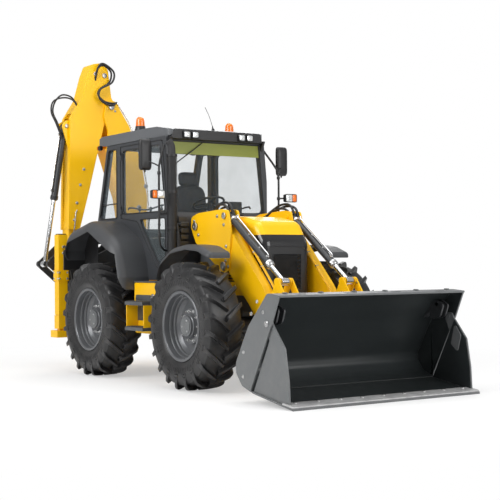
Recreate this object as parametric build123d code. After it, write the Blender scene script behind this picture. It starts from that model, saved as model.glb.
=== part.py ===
"""Backhoe loader with four equal wheels, four-in-one loader bucket and a side-shifting backhoe.

Sizes are in millimetres. X runs forward, Y to the machine's left and Z up. Every place along X
is written from the rear axle; the finished pieces are then moved so that the middle of the
machine's outline stands on the origin.
"""
from build123d import *
import math
import os

WHEELBASE = 2207

# Overall reach, measured from the rear axle
FRONT_REACH = WHEELBASE + 2164
POST_X = -1350
DIG_BUCKET_W = 400
REAR_REACH = -POST_X + DIG_BUCKET_W / 2
AXLE_SHIFT = -(FRONT_REACH - REAR_REACH) / 2

# Running gear
HUB_Z = 695
TYRE_R = 695
TYRE_W = 430
TREAD_W = 380
CARCASS_R = 655
LUGS = 18
TYRE_SIDES = 24
LUG_BAR = (250, 52)
LUG_TURN = 42
BEAD_R = 356
RIM_FLANGE_R = 383
RIM_W = 370
RIM_WALL = 10
DISC_T = 16
DISC_AT = 5
HUB_R = 150
HUB_CAP_R = 112
HUB_OUT = 118
TRACK_HALF = 925
KINGPIN_Y = 800
KINGPIN_R = 32
KINGPIN_REACH = 215
FORK_T = 44
AXLE_TUBE_R = 85
SEAT_GAP = 0.3
RUN_GAP = 5

# Frame
RAIL_Y = 290
RAIL_T = 60
RAIL_Z0 = 830
RAIL_Z1 = 1010
RAIL_FRONT = WHEELBASE + 383
RAIL_REAR = -879.7
FRAME_NOSE_T = 30
TOW_Z = 938
TOW_R = 20
TOW_T = 30

# Engine and hood
HOOD_HALF_W = 319.7
HOOD_FRONT = WHEELBASE + 443
HOOD_REAR = WHEELBASE - 767
HOOD_FRONT_Z = 1600
HOOD_REAR_Z = 1930
HOOD_BASE_Z = 1010.3
HOOD_SKIN = 8
HOOD_SHOULDER = 90
NOSE_DEPTH = 100
NOSE_TOP_Z = 1545
ENGINE_L = 950
ENGINE_W = 460
ENGINE_H = 560

# Cab
CAB_HALF_W = 700
CAB_FRONT = WHEELBASE - 877
CAB_REAR = -520
CAB_FLOOR_Z = 1180
CAB_REAR_FLOOR_Z = 1630
CAB_WAIST_Z = 1930
CAB_EAVES_Z = 2870
CAB_FRONT_TOP = CAB_FRONT - 115
CAB_REAR_TOP = -250
PILLAR = 60
B_PILLAR_X = 60
ROOF_T = 125
ROOF_FRONT = CAB_FRONT_TOP + 40
ROOF_NOSE_HALF_W = 665
ROOF_REAR = -500
GLASS_T = 6
FLOOR_T = 40
HINGE_X = B_PILLAR_X + 57
HINGE_Y = CAB_HALF_W + 14
HINGE_Z = (CAB_EAVES_Z - 180, CAB_WAIST_Z + 90)

EXHAUST_AT = (CAB_FRONT + 55, -CAB_HALF_W - 15)
EXHAUST_R = 62

# Loader, places in X and Z from the rear axle and the ground
ARM_Y = 430
ARM_HALF = 55
ELBOW_T = 20
ARM_PIVOT = (WHEELBASE - 647, 1800)
TILT_BASE = (WHEELBASE - 37, 1900)
LIFT_BASE = (WHEELBASE - 957, 900)
LIFT_EYE = (WHEELBASE - 57, 1340)
LEVER_PIVOT = (WHEELBASE + 743, 780)
LEVER_TOP = (WHEELBASE + 973, 1172)
BUCKET_PIVOT = (WHEELBASE + 1093, 370)
LINK_PIVOT = (WHEELBASE + 1273, 740)
LEVER_OFF = 68
LINK_OFF = 90
EAR_OFF = 114
LINK_T = 16
EAR_T = 20
PIN_R = 28
EYE_HALF = 44

# Loader bucket
BUCKET_HALF_W = 1200
BUCKET_SIDE_T = 16
BUCKET_SKIN = 14
CLAM_PIVOT = (WHEELBASE + 1750, 790)
CLAM_IN = 21

# Backhoe, places in reach from the swing post and height above the ground
POST_Y = 530
POST_R = 62
POST_Z0 = 545
POST_Z1 = 835
LUG_T = 60
LUG_R = 115
BOOM_FOOT = (280, 980)
BOOM_TOP = (680, 3512)
DIPPER_TAIL = (764, 3937)
BOOM_RAM_BASE = (-20, 1240)
BOOM_RAM_EYE = (262, 2150)
DIPPER_RAM_BASE = (150, 2450)
CURL_BASE = (1300, 3227)
CURL_JOINT = (1600, 1382)
DIPPER_TIP = (1280, 1360)
CURL_LEVER_PIVOT = (1250, 1690)
DIG_LINK_PIVOT = (1190, 1030)
BOOM_HALF = 165
DIPPER_HALF = 130
EXTENSION_HALF = 100
CHANNEL_U0 = 1150
CHANNEL_U1 = 1284
SLIDE_LEAN = 0.021
BRACKET_HALF = 72

# Stabilisers and rear frame
LEG_X = -930
LEG_Y = 1030
LEG_OUTER = 124
LEG_WALL = 8
LEG_INNER = 51
LEG_TOP_Z = 1760
LEG_BOTTOM_Z = 720
FOOT_Z = 430
FOOT_HALF = 100
RAIL_BACK_X = -1015
SHIFT_RAIL_H = 90
SHIFT_RAIL_Z = (560, 960)
CARRIAGE_HALF_W = 300

os.makedirs("parts", exist_ok=True)


def outline(points, radii=0):
    """A flat face inside the given corners, which may be rounded."""
    return make_face(FilletPolyline(*points, radius=radii, close=True))


def side_plate(points, y, thick, radii=0):
    """A plate standing along the machine: its corners are in X and Z, its middle at y."""
    return Pos(0, y, 0) * extrude(Plane.XZ * outline(points, radii), amount=thick / 2, both=True)


ARM_PLANE = Plane(origin=(POST_X, POST_Y, 0), x_dir=(0, -1, 0), z_dir=(-1, 0, 0))


def arm_plate(points, off, thick, radii=0):
    """A plate of the backhoe arm: its corners are in reach and height, off is to the front."""
    return Pos(off, 0, 0) * extrude(ARM_PLANE * outline(points, radii), amount=thick / 2, both=True)


def block(x0, x1, y0, y1, z0, z1):
    """A box between the given faces."""
    return Pos((x0 + x1) / 2, (y0 + y1) / 2, (z0 + z1) / 2) * Box(x1 - x0, abs(y1 - y0), z1 - z0)


def cross_pin(place, y0, y1, r):
    """A round bar along Y at a place in X and Z."""
    return Pos(place[0], (y0 + y1) / 2, place[1]) * Rot(90, 0, 0) * Cylinder(r, abs(y1 - y0))


def arm_pin(place, half, r, off=0):
    """A round bar across the backhoe arm at a place in reach and height."""
    at = Pos(POST_X + off, POST_Y - place[0], place[1])
    return at * Rot(0, 90, 0) * Cylinder(r, 2 * half)


def rod(a, b, r):
    """A round bar from point a to point b."""
    a, b = Vector(*a), Vector(*b)
    return Plane(origin=a, z_dir=b - a) * Cylinder(r, (b - a).length, align=(Align.CENTER, Align.CENTER, Align.MIN))


def reach_point(place, off=0):
    """The point in space of a place on the backhoe arm."""
    return (POST_X + off, POST_Y - place[0], place[1])


def towards(a, b, distance):
    """The point that lies the distance from a on the way to b."""
    a, b = Vector(*a), Vector(*b)
    return tuple(a + (b - a).normalized() * distance)


def mirrored(shape):
    """The same piece on the machine's left side."""
    return mirror(shape, about=Plane.XZ)


def both_sides(shape):
    """The right-hand piece with its left-hand twin."""
    return Part() + [shape, mirrored(shape)]


def ram(base, eye, barrel_r, rod_r, barrel_length, rod_start, pin, base_r=45, eye_r=42):
    """A cylinder's barrel and its rod, from the base pin to the rod's eye.

    rod_start is where the rod ends inside the barrel, from the base pin.
    pin(place, half, r) makes the round bosses across the cylinder at either end.
    """
    head = towards(base, eye, barrel_length)
    barrel = rod(towards(base, eye, base_r * 0.6), head, barrel_r)
    bore_start = towards(base, eye, base_r + 15)
    barrel -= rod(bore_start, towards(base, eye, barrel_length + 1), rod_r + 1)
    barrel += pin(base, EYE_HALF, base_r)
    barrel -= pin(base, max(EYE_HALF, barrel_r) + 1, PIN_R + SEAT_GAP)
    piston = rod(towards(base, eye, rod_start), towards(eye, base, eye_r * 0.6), rod_r)
    piston += pin(eye, EYE_HALF, eye_r)
    return barrel, piston


# Wheels
def tyre():
    """A tyre about the Y axis with two rows of slanting lugs, half a pitch apart."""
    half = TYRE_W / 2
    tread = TREAD_W / 2
    bead = RIM_W / 2 - 10 - SEAT_GAP
    rings = [(bead, BEAD_R + 30), (half, CARCASS_R - 120), (tread, CARCASS_R - 25)]
    rings = [(-y, r) for y, r in rings] + [(y, r) for y, r in reversed(rings)]
    carcass = loft([Pos(0, 0, y) * RegularPolygon(r, TYRE_SIDES) for y, r in rings], ruled=True)
    carcass = Rot(90, 0, 0) * (carcass - Cylinder(BEAD_R + SEAT_GAP, TYRE_W + 10))
    length, width = LUG_BAR
    turn = math.radians(LUG_TURN)
    along = (length * math.sin(turn) + width * math.cos(turn)) / 2
    top = math.sqrt(TYRE_R ** 2 - along ** 2)
    foot = CARCASS_R - 70
    lugs = []
    for side in (-1, 1):
        middle = side * (tread - length * math.cos(turn) / 2)
        lug = Pos(0, middle, (top + foot) / 2) * Rot(0, 0, side * LUG_TURN) * Box(width, length, top - foot)
        for i in range(LUGS):
            lugs.append(Rot(0, (i + (side + 1) / 4) * 360 / LUGS, 0) * lug)
    return carcass + lugs


def rim():
    """A deep-dished rim about the Y axis with its hub, outer side towards -Y."""
    half = RIM_W / 2
    out = -half
    barrel = [(-half, BEAD_R - RIM_WALL), (-half, RIM_FLANGE_R), (-half + 10, RIM_FLANGE_R), (-half + 10, BEAD_R),
              (half - 10, BEAD_R), (half - 10, RIM_FLANGE_R), (half, RIM_FLANGE_R), (half, BEAD_R - RIM_WALL),
              (60, BEAD_R - RIM_WALL), (30, BEAD_R - 30), (-DISC_AT + DISC_T, BEAD_R - 60), (-DISC_AT + DISC_T, 60),
              (-HUB_OUT, 0), (-HUB_OUT, HUB_CAP_R), (-HUB_OUT + 25, HUB_CAP_R + 8), (-HUB_OUT + 30, HUB_R - 8),
              (-60, HUB_R), (-45, HUB_R + 42), (-DISC_AT, HUB_R + 48), (-DISC_AT, BEAD_R - 70), (-40, BEAD_R - 42),
              (-60, BEAD_R - 40), (-64, BEAD_R - 24), (-110, BEAD_R - 22), (-114, BEAD_R - RIM_WALL)]
    barrel.insert(12, (-DISC_AT + DISC_T, 0))
    barrel.pop(11)
    face = Plane.YX * outline(barrel)
    return revolve(face, Axis.Y)


def knuckle():
    """A steering knuckle at the origin, its wheel's spindle towards -Y, its kingpin at y = offset."""
    pin_y = TRACK_HALF - KINGPIN_Y
    body = Pos(0, pin_y, 0) * Cylinder(62, 2 * (KINGPIN_REACH - FORK_T - RUN_GAP))
    body += Pos(0, pin_y, 0) * Cylinder(KINGPIN_R, 2 * KINGPIN_REACH)
    spindle = rod((0, pin_y, 0), (0, DISC_T - DISC_AT + SEAT_GAP, 0), 110)
    brake = rod((0, pin_y - 38, 0), (0, DISC_T - DISC_AT + 12, 0), 165)
    return body + spindle + brake


WHEELS = [  # name, axle place along X, side (-1 is right)
    ("front_right", WHEELBASE, -1),
    ("front_left", WHEELBASE, 1),
    ("rear_right", 0, -1),
    ("rear_left", 0, 1),
]


def at_wheel(shape, x, side):
    """Put a right-hand wheel piece at its hub."""
    placed = Pos(x, -TRACK_HALF, HUB_Z) * shape
    return placed if side < 0 else mirrored(placed)


def axle(x):
    """An axle housing with its differential bowl and the forks that hold the kingpins."""
    tube = rod((x, -KINGPIN_Y + 130, HUB_Z), (x, KINGPIN_Y - 130, HUB_Z), AXLE_TUBE_R)
    bowl = Pos(x, 0, HUB_Z) * Sphere(160)
    housing = tube + bowl
    for side in (-1, 1):
        y_pin = side * KINGPIN_Y
        y_in = side * (KINGPIN_Y - 130)
        back = block(x - 60, x + 60, min(y_in, y_in + side * 30), max(y_in, y_in + side * 30), HUB_Z - KINGPIN_REACH, HUB_Z + KINGPIN_REACH)
        housing += back
        for up in (-1, 1):
            z_mid = HUB_Z + up * (KINGPIN_REACH - FORK_T / 2)
            reach = block(x - 60, x + 60, min(y_in, y_pin), max(y_in, y_pin), z_mid - FORK_T / 2, z_mid + FORK_T / 2)
            eye = Pos(x, y_pin, z_mid) * Cylinder(60, FORK_T)
            housing += reach + eye
            housing -= Pos(x, y_pin, z_mid) * Cylinder(KINGPIN_R + SEAT_GAP, FORK_T + 10)
    return housing


# Frame
def main_frame():
    """The two rails, their cross members, the axle saddles and the loader's towers."""
    right = block(RAIL_REAR, RAIL_FRONT, -RAIL_Y - RAIL_T / 2, -RAIL_Y + RAIL_T / 2, RAIL_Z0, RAIL_Z1)
    tower_y = -(ARM_Y - ARM_HALF - ELBOW_T - RUN_GAP - 15)
    px, pz = ARM_PIVOT
    tower = [(px - 190, RAIL_Z1 - 20), (px - 105, pz), (px - 60, pz + 100), (px + 60, pz + 100), (px + 120, pz), (px + 300, RAIL_Z1 - 20)]
    right += side_plate(tower, tower_y, 30, [0, 60, 40, 40, 60, 0])
    lx, lz = LIFT_BASE
    bracket = [(lx - 80, RAIL_Z1 - 10), (lx - 80, lz - 60), (lx + 40, lz - 60), (lx + 90, RAIL_Z1 - 10)]
    right += side_plate(bracket, -(ARM_Y - 50 - RUN_GAP - 15), 30, [0, 40, 40, 0])
    right += block(lx - 80, lx + 90, -(ARM_Y - 50 - RUN_GAP - 1), -RAIL_Y, RAIL_Z0 + 20, RAIL_Z1 - 20)
    stay_x = FRONT_GUARD[0][0] - SEAT_GAP
    right += block(stay_x - 50, stay_x, -860, -RAIL_Y, RAIL_Z0 + 15, RAIL_Z0 + 55)
    right += block(stay_x - 25, stay_x, -860, -790, RAIL_Z0 + 15, FRONT_GUARD[0][1])
    for x, z in ((-380, CAB_REAR_FLOOR_Z), (CAB_FRONT - 630, CAB_FLOOR_Z), (CAB_FRONT - 180, CAB_FLOOR_Z)):
        right += block(x, x + 90, -RAIL_Y - RAIL_T / 2, -RAIL_Y + RAIL_T / 2, RAIL_Z1 - 5, z - SEAT_GAP)
    frame = both_sides(right)
    members = [(-860, -800), (-90, 90), (CAB_FRONT - 250, CAB_FRONT - 170), (WHEELBASE - 90, WHEELBASE + 90)]
    members += [(RAIL_FRONT - FRAME_NOSE_T, RAIL_FRONT)]
    for x0, x1 in members:
        frame += block(x0, x1, -RAIL_Y, RAIL_Y, RAIL_Z0 + 40, RAIL_Z1 - 10)
    for x in (0, WHEELBASE):
        for side in (-1, 1):
            y = side * RAIL_Y
            frame += block(x - 80, x + 80, y - 50, y + 30, HUB_Z + AXLE_TUBE_R + SEAT_GAP, RAIL_Z0 + 10)
    tow_x = RAIL_FRONT + 40
    frame += block(RAIL_FRONT - 5, tow_x, -45, 45, TOW_Z - TOW_T / 2, TOW_Z + TOW_T / 2)
    frame += Pos(tow_x, 0, TOW_Z) * Cylinder(45, TOW_T)
    frame -= Pos(tow_x, 0, TOW_Z) * Cylinder(TOW_R, TOW_T + 10)
    pin = cross_pin(ARM_PIVOT, -(ARM_Y + ARM_HALF + ELBOW_T + 12), tower_y, 40)
    pin += cross_pin(LIFT_BASE, -(ARM_Y + 50), -(ARM_Y - 50 - RUN_GAP - 15), PIN_R)
    return frame + both_sides(pin)


def hood_body(inset):
    """The hood's solid form drawn in by the inset: a falling top, a full nose and soft shoulders."""
    profile = [(HOOD_REAR, HOOD_BASE_Z), (HOOD_REAR, HOOD_REAR_Z - inset), (HOOD_FRONT - 450, HOOD_REAR_Z - 38 - inset)]
    profile += [(HOOD_FRONT - 150 - inset, HOOD_FRONT_Z + 230 - inset), (HOOD_FRONT - inset, HOOD_FRONT_Z - inset)]
    profile += [(HOOD_FRONT - inset, HOOD_BASE_Z)]
    half = HOOD_HALF_W - inset
    body = side_plate(profile, 0, 2 * half, [0, 0, 500, 150, 150, 0])
    shoulders = body.edges().filter_by(
        lambda e: abs(abs(e.center().Y) - half) < 1 and e.center().X > HOOD_REAR + 50 and e.center().Z > HOOD_BASE_Z + 50)
    return fillet(shoulders, HOOD_SHOULDER - inset)


def hood_mouth(play):
    """The opening in the hood's nose, a block with rounded upper corners, less the play all round."""
    half = HOOD_HALF_W - 30 - play
    low = HOOD_BASE_Z - 10 + play
    top = NOSE_TOP_Z - play
    face = outline([(-half, low), (half, low), (half, top), (-half, top)], [0, 0, 110, 110])
    return Pos(HOOD_FRONT - NOSE_DEPTH + play, 0, 0) * extrude(Plane.YZ * face, amount=NOSE_DEPTH + 50)


def hood():
    """The engine hood: a shell with rounded shoulders, open below, behind and at the grille."""
    inner = hood_body(HOOD_SKIN)
    inner += block(HOOD_REAR - 50, HOOD_REAR + 50, -HOOD_HALF_W + 60, HOOD_HALF_W - 60, HOOD_BASE_Z, HOOD_REAR_Z - 60)
    return hood_body(0) - inner - hood_mouth(0)


def grille():
    """The front grille in the hood's mouth: a curved frame with a slatted middle."""
    half = HOOD_HALF_W - 130
    z0, z1 = HOOD_BASE_Z + 60, NOSE_TOP_Z - 80
    deep = HOOD_FRONT - NOSE_DEPTH
    panel = hood_body(0) & hood_mouth(SEAT_GAP)
    panel -= block(deep - 1, HOOD_FRONT - 25, -HOOD_HALF_W + 60, HOOD_HALF_W - 60, HOOD_BASE_Z - 11, NOSE_TOP_Z - 40)
    panel -= block(deep - 1, HOOD_FRONT + 1, -half, half, z0, z1)
    slats = 9
    step = (z1 - z0) / slats
    for i in range(slats):
        z = z0 + step * (i + 0.5)
        panel += block(HOOD_FRONT - 22, HOOD_FRONT - 6, -half - 5, half + 5, z - 9, z + 9)
    return panel


def engine_block():
    """The engine as one plain block between the rails."""
    x_mid = WHEELBASE - 150
    engine = block(x_mid - ENGINE_L / 2, x_mid + ENGINE_L / 2, -ENGINE_W / 2, ENGINE_W / 2, RAIL_Z1 - 10 + SEAT_GAP, RAIL_Z1 + ENGINE_H)
    return engine


# Cab
CAB_SIDE = [  # cab outline in X and Z: front foot, front waist, front top, rear top, rear waist, rear foot
    (CAB_FRONT, CAB_FLOOR_Z), (CAB_FRONT, CAB_WAIST_Z), (CAB_FRONT_TOP, CAB_EAVES_Z),
    (CAB_REAR_TOP, CAB_EAVES_Z), (CAB_REAR, CAB_WAIST_Z), (CAB_REAR, CAB_REAR_FLOOR_Z), (-60, CAB_REAR_FLOOR_Z), (CAB_FRONT - 730, CAB_FLOOR_Z)]
DOOR = [  # door outline in X and Z, drawn clear of the rear mudguard's slope
    (B_PILLAR_X + 45, CAB_EAVES_Z - 45), (B_PILLAR_X + 45, CAB_WAIST_Z + 10), (CAB_FRONT - 810, CAB_WAIST_Z - 40), (CAB_FRONT - 335, CAB_FLOOR_Z + 150),
    (CAB_FRONT - 70, CAB_FLOOR_Z + 60), (CAB_FRONT - 70, CAB_WAIST_Z), (CAB_FRONT_TOP - 75, CAB_EAVES_Z - 45)]
DOOR_RADII = [40, 30, 60, 60, 40, 20, 40]
QUARTER = [(B_PILLAR_X - 55, CAB_EAVES_Z - 60), (CAB_REAR_TOP + 45, CAB_EAVES_Z - 60), (CAB_REAR + 62, CAB_WAIST_Z + 15), (B_PILLAR_X - 55, CAB_WAIST_Z + 15)]


def grown(points, by):
    """The outline pushed outwards by the distance."""
    return offset(outline(points), amount=by, kind=Kind.INTERSECTION)


def cab_frame():
    """The cab's body: floor, walls and pillars with every window and both doorways cut."""
    inner = CAB_HALF_W - PILLAR
    body = side_plate(CAB_SIDE, 0, 2 * CAB_HALF_W, [0, 60, 20, 20, 60, 0, 0, 0])
    room = [(CAB_FRONT - PILLAR, CAB_FLOOR_Z + FLOOR_T), (CAB_FRONT - PILLAR, CAB_WAIST_Z), (CAB_FRONT_TOP - PILLAR, CAB_EAVES_Z + 10),
            (CAB_REAR_TOP + PILLAR, CAB_EAVES_Z + 10), (CAB_REAR + PILLAR, CAB_WAIST_Z), (CAB_REAR + PILLAR, CAB_REAR_FLOOR_Z + FLOOR_T),
            (-40, CAB_REAR_FLOOR_Z + FLOOR_T), (CAB_FRONT - 710, CAB_FLOOR_Z + FLOOR_T)]
    body -= side_plate(room, 0, 2 * inner, [0, 60, 20, 20, 60, 0, 0, 0])
    for side in (-1, 1):
        y = side * (CAB_HALF_W - PILLAR / 2)
        body -= Pos(0, y, 0) * extrude(Plane.XZ * grown(DOOR, 6), amount=PILLAR, both=True)
        body -= side_plate(QUARTER, y, 2 * PILLAR, 40)
    corner = outline([(CAB_FRONT + 60, CAB_HALF_W - 120), (CAB_FRONT + 60, CAB_HALF_W + 60), (CAB_FRONT - 110, CAB_HALF_W + 60)])
    corner = Pos(0, 0, CAB_FLOOR_Z - 10) * extrude(corner, amount=CAB_EAVES_Z)
    body -= both_sides(corner)
    hinge = Part()
    for z in HINGE_Z:
        hinge += Pos(HINGE_X, -HINGE_Y, z + 50 + SEAT_GAP) * Cylinder(12, 40)
        hinge += block(B_PILLAR_X, HINGE_X, -HINGE_Y - 10, -HINGE_Y + 10, z + 30 + SEAT_GAP, z + 70)
        hinge += block(B_PILLAR_X, B_PILLAR_X + 36, -HINGE_Y + 9, -CAB_HALF_W + 1, z + 30 + SEAT_GAP, z + 70)
        hinge += Pos(HINGE_X, -HINGE_Y, z + 5) * Cylinder(6, 70)
    body += both_sides(hinge)
    sill = CAB_WAIST_Z + 40
    top = CAB_EAVES_Z - 50
    body -= block(CAB_FRONT_TOP - 200, CAB_FRONT + 50, -inner + 10, inner - 10, sill, top)
    body -= block(CAB_REAR - 50, CAB_REAR_TOP + 80, -inner + 10, inner - 10, CAB_WAIST_Z - 100, top)
    return body


def cab_glazing():
    """The fixed panes: windscreen, rear window and the two quarter lights."""
    inner = CAB_HALF_W - PILLAR
    sill = CAB_WAIST_Z + 40
    top = CAB_EAVES_Z - 50
    lean = (CAB_FRONT - CAB_FRONT_TOP) / (CAB_EAVES_Z - CAB_WAIST_Z)
    mid = PILLAR / 2

    def front_x(z):
        return CAB_FRONT - mid - (z - CAB_WAIST_Z) * lean

    screen = [(front_x(sill), sill + SEAT_GAP), (front_x(top), top - SEAT_GAP), (front_x(top) - GLASS_T, top - SEAT_GAP), (front_x(sill) - GLASS_T, sill + SEAT_GAP)]
    glass = side_plate(screen, 0, 2 * (inner - 10 - SEAT_GAP))
    lean_rear = (CAB_REAR_TOP - CAB_REAR) / (CAB_EAVES_Z - CAB_WAIST_Z)

    def rear_x(z):
        return CAB_REAR + mid + max(0, z - CAB_WAIST_Z) * lean_rear

    low = CAB_WAIST_Z - 100
    rear = [(rear_x(low), low + SEAT_GAP), (rear_x(CAB_WAIST_Z), CAB_WAIST_Z), (rear_x(top), top - SEAT_GAP), (rear_x(top) + GLASS_T, top - SEAT_GAP),
            (rear_x(CAB_WAIST_Z) + GLASS_T, CAB_WAIST_Z), (rear_x(low) + GLASS_T, low + SEAT_GAP)]
    glass += side_plate(rear, 0, 2 * (inner - 10 - SEAT_GAP))
    for side in (-1, 1):
        pane = offset(outline(QUARTER, 40), amount=-SEAT_GAP)
        glass += Pos(0, side * (CAB_HALF_W - mid), 0) * extrude(Plane.XZ * pane, amount=GLASS_T / 2, both=True)
    return glass


def door():
    """The right-hand door's frame with its upper and lower openings."""
    y = -(CAB_HALF_W - 20)
    frame = side_plate(DOOR, y, 40, DOOR_RADII)
    for pane in door_panes():
        frame -= Pos(0, y, 0) * extrude(Plane.XZ * pane, amount=40, both=True)
    for z in HINGE_Z:
        frame += Pos(HINGE_X, -HINGE_Y, z) * Cylinder(12, 60)
        frame += block(HINGE_X, HINGE_X + 34, -HINGE_Y - 4, -CAB_HALF_W + 2, z - 30, z + 30)
        frame -= Pos(HINGE_X, -HINGE_Y, z) * Cylinder(6 + SEAT_GAP, 62)
    return frame


def door_panes():
    """Outlines of the door's upper and lower glass."""
    upper = [(B_PILLAR_X + 105, CAB_EAVES_Z - 95), (B_PILLAR_X + 105, CAB_WAIST_Z + 60), (CAB_FRONT - 125, CAB_WAIST_Z + 60), (CAB_FRONT_TOP - 130, CAB_EAVES_Z - 95)]
    lower = [(CAB_FRONT - 730, CAB_WAIST_Z - 20), (CAB_FRONT - 700, CAB_WAIST_Z - 90), (CAB_FRONT - 305, CAB_FLOOR_Z + 210),
             (CAB_FRONT - 125, CAB_FLOOR_Z + 165), (CAB_FRONT - 125, CAB_WAIST_Z - 20)]
    return [outline(upper, 50), outline(lower, [10, 40, 50, 40, 40])]


def door_glass():
    """The right-hand door's two panes, in the middle of its frame."""
    y = -(CAB_HALF_W - 20)
    glass = Part()
    for pane in door_panes():
        glass += Pos(0, y, 0) * extrude(Plane.XZ * offset(pane, amount=-SEAT_GAP), amount=GLASS_T / 2, both=True)
    return glass


def cab_roof():
    """The roof slab with the forward visor."""
    z0 = CAB_EAVES_Z + SEAT_GAP
    side = [(ROOF_FRONT, z0 + 15), (ROOF_FRONT, z0 + 80), (ROOF_FRONT - 250, z0 + ROOF_T), (ROOF_REAR + 150, z0 + ROOF_T),
            (ROOF_REAR, z0 + 90), (ROOF_REAR, z0 + 30), (CAB_REAR_TOP - 40, z0), (CAB_FRONT_TOP, z0)]
    wide = CAB_HALF_W + 15
    slab = side_plate(side, 0, 2 * wide, [10, 20, 80, 80, 20, 15, 0, 0])
    plan = [(ROOF_REAR, -wide), (ROOF_FRONT - 430, -wide), (ROOF_FRONT, -ROOF_NOSE_HALF_W), (ROOF_FRONT, ROOF_NOSE_HALF_W)]
    plan += [(ROOF_FRONT - 430, wide), (ROOF_REAR, wide)]
    return slab & Pos(0, 0, z0 - 10) * extrude(outline(plan, [90, 400, 60, 60, 400, 90]), amount=ROOF_T + 20)


def seat():
    """The operator's seat on its box."""
    floor = CAB_FLOOR_Z + FLOOR_T + SEAT_GAP
    x = CAB_FRONT - 730
    base = block(x + 40, x + 300, -180, 180, floor, floor + 360)
    cushion = block(x, x + 400, -240, 240, floor + 360, floor + 470)
    back = side_plate([(x, floor + 470), (x + 80, floor + 470), (x, floor + 1100), (x - 70, floor + 1100)], 0, 460, 20)
    return base + cushion + back


def steering_console():
    """The front console with the column and the steering wheel."""
    floor = CAB_FLOOR_Z + FLOOR_T + SEAT_GAP
    x = CAB_FRONT - 65
    console = side_plate([(x - 135, floor), (x, floor), (x, floor + 650), (x - 115, floor + 560)], 0, 300, [0, 0, 20, 40])
    top = (x - 225, 0, floor + 880)
    console += rod((x - 85, 0, floor + 520), top, 35)
    lean = Plane(origin=top, z_dir=(-140, 0, 360))
    console += lean * Torus(190, 14)
    for angle in (0, 120, 240):
        console += lean * Rot(0, 0, angle) * Pos(95, 0, 0) * Box(190, 22, 10)
    return console


# Mudguards, tanks and steps
def guard(path, bows, y_in, y_out, lip, bend, skin):
    """A mudguard: a shell under the path, open below and inboard, rounded at its outer edge.

    The path runs from the rear tip over the top to the front tip, in X and Z, and bows are the
    radii of its corners. The lip is how far the outer side hangs down.
    """
    low = min(z for x, z in path) - 400
    (x0, z0), (x1, z1) = path[0], path[-1]

    def solid(drop):
        under = [(x, z - drop) for x, z in path[1:-1]]
        points = [(x0 + drop, low), (x0 + drop, z0 - drop), *under, (x1 - drop, z1 - drop), (x1 - drop, low)]
        shape = extrude(Plane.XZ * outline(points, [0, 40, *bows, 40, 0]), amount=y_out - y_in - drop)
        shape = Pos(0, -y_in, 0) * shape
        edges = shape.faces().sort_by(Axis.Y)[0].edges()
        edges = edges.filter_by(lambda e: e.center().Z > low + 5)
        return fillet(edges, bend - drop)

    keep = [(x0 - 100, low - 100), (x0 - 50, z0 - lip)] + [(x, z - lip) for x, z in path]
    keep += [(x1 + 50, z1 - lip), (x1 + 100, low - 100)]
    open_below = extrude(Plane.XZ * outline(keep), amount=y_out - y_in, both=True)
    return solid(0) - solid(skin) - Pos(0, -(y_in + y_out) / 2, 0) * open_below


REAR_GUARD = [(-700, 1560), (-560, 1790), (60, 1925), (680, 1640), (800, 1215)]
REAR_BOWS = [300, 400, 450]
FRONT_GUARD = [
    (WHEELBASE - 796, 1227), (WHEELBASE - 707, 1400), (WHEELBASE - 447, 1545),
    (WHEELBASE - 130, 1585), (WHEELBASE + 133, 1562), (WHEELBASE + 349, 1485),
]
FRONT_BOWS = [250, 400, 600, 400]


def fenders():
    """The two rear and the two front mudguards."""
    rear = guard(REAR_GUARD, REAR_BOWS, CAB_HALF_W + SEAT_GAP, 1140, 150, 140, 12)
    front = guard(FRONT_GUARD, FRONT_BOWS, CAB_HALF_W - 10, 970, 60, 60, 10)
    notch = Pos(*EXHAUST_AT, FRONT_GUARD[0][1]) * Cylinder(EXHAUST_R + 8, 600)
    return both_sides(rear) + mirrored(front) + (front - notch)


def side_boxes():
    """The fuel tank on the right and the battery and tool box on the left, between the wheels."""
    x0 = TYRE_R + 115
    x1 = WHEELBASE - 897
    right = side_plate([(x0, 560), (x1, 560), (x1, 1150), (x0, 1150)], -CAB_HALF_W, 400, [60, 60, 20, 20])
    right += block(x0 + 20, x0 + 90, -CAB_HALF_W + 190, -RAIL_Y - RAIL_T / 2 - SEAT_GAP, RAIL_Z0 + 30, RAIL_Z1 - 20)
    return both_sides(right)


def steps():
    """Two treads on each side below the doors, with their hanger plates."""
    out = CAB_HALF_W + 200 + SEAT_GAP
    x0 = TYRE_R + 185
    x1 = WHEELBASE - 907
    right = Part()
    for z in (620, 915):
        right += block(x0, x1, -out - 170, -out, z - 20, z + 20)
    for x in (x0, x1 - 12):
        right += block(x, x + 12, -out - 150, -out, 600, 935)
    return both_sides(right)


def exhaust_stack():
    """The exhaust pipe in its guard beside the right front pillar."""
    x, y = EXHAUST_AT
    stack = rod((x, y, 1250), (x, y, 2800), EXHAUST_R)
    stack += rod((x, y, 1262), (x - 10, y + 155, 1100), 40)
    for z in (1500, 1800):
        stack += rod((x, y, z), (x - 64.6, y + 61, z), 18)
    return stack


def mirror_rails():
    """Mirrors and driving lamps with their rails, left and right."""
    x = CAB_FRONT - 14
    y = -CAB_HALF_W - 147
    rail = rod((x, y, 1560), (x, y, 2560), 12)
    rail += rod((x, y, 2500), (x - 121, -CAB_HALF_W - 10, 2760), 10)
    rail += rod((x, y, 1560), (x - 54, -CAB_HALF_W - 13, 1520), 10)
    rail += block(x - 121, x - 71, y - 203, y - 43, 2455, 2815)
    rail += rod((x - 106, y - 123, 2560), (x, y, 2500), 10)
    rail += block(x + 84, x + 154, y - 173, y - 3, 2115, 2215)
    rail += rod((x, y, 2165), (x + 104, y - 53, 2165), 10)
    return both_sides(rail)


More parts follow.
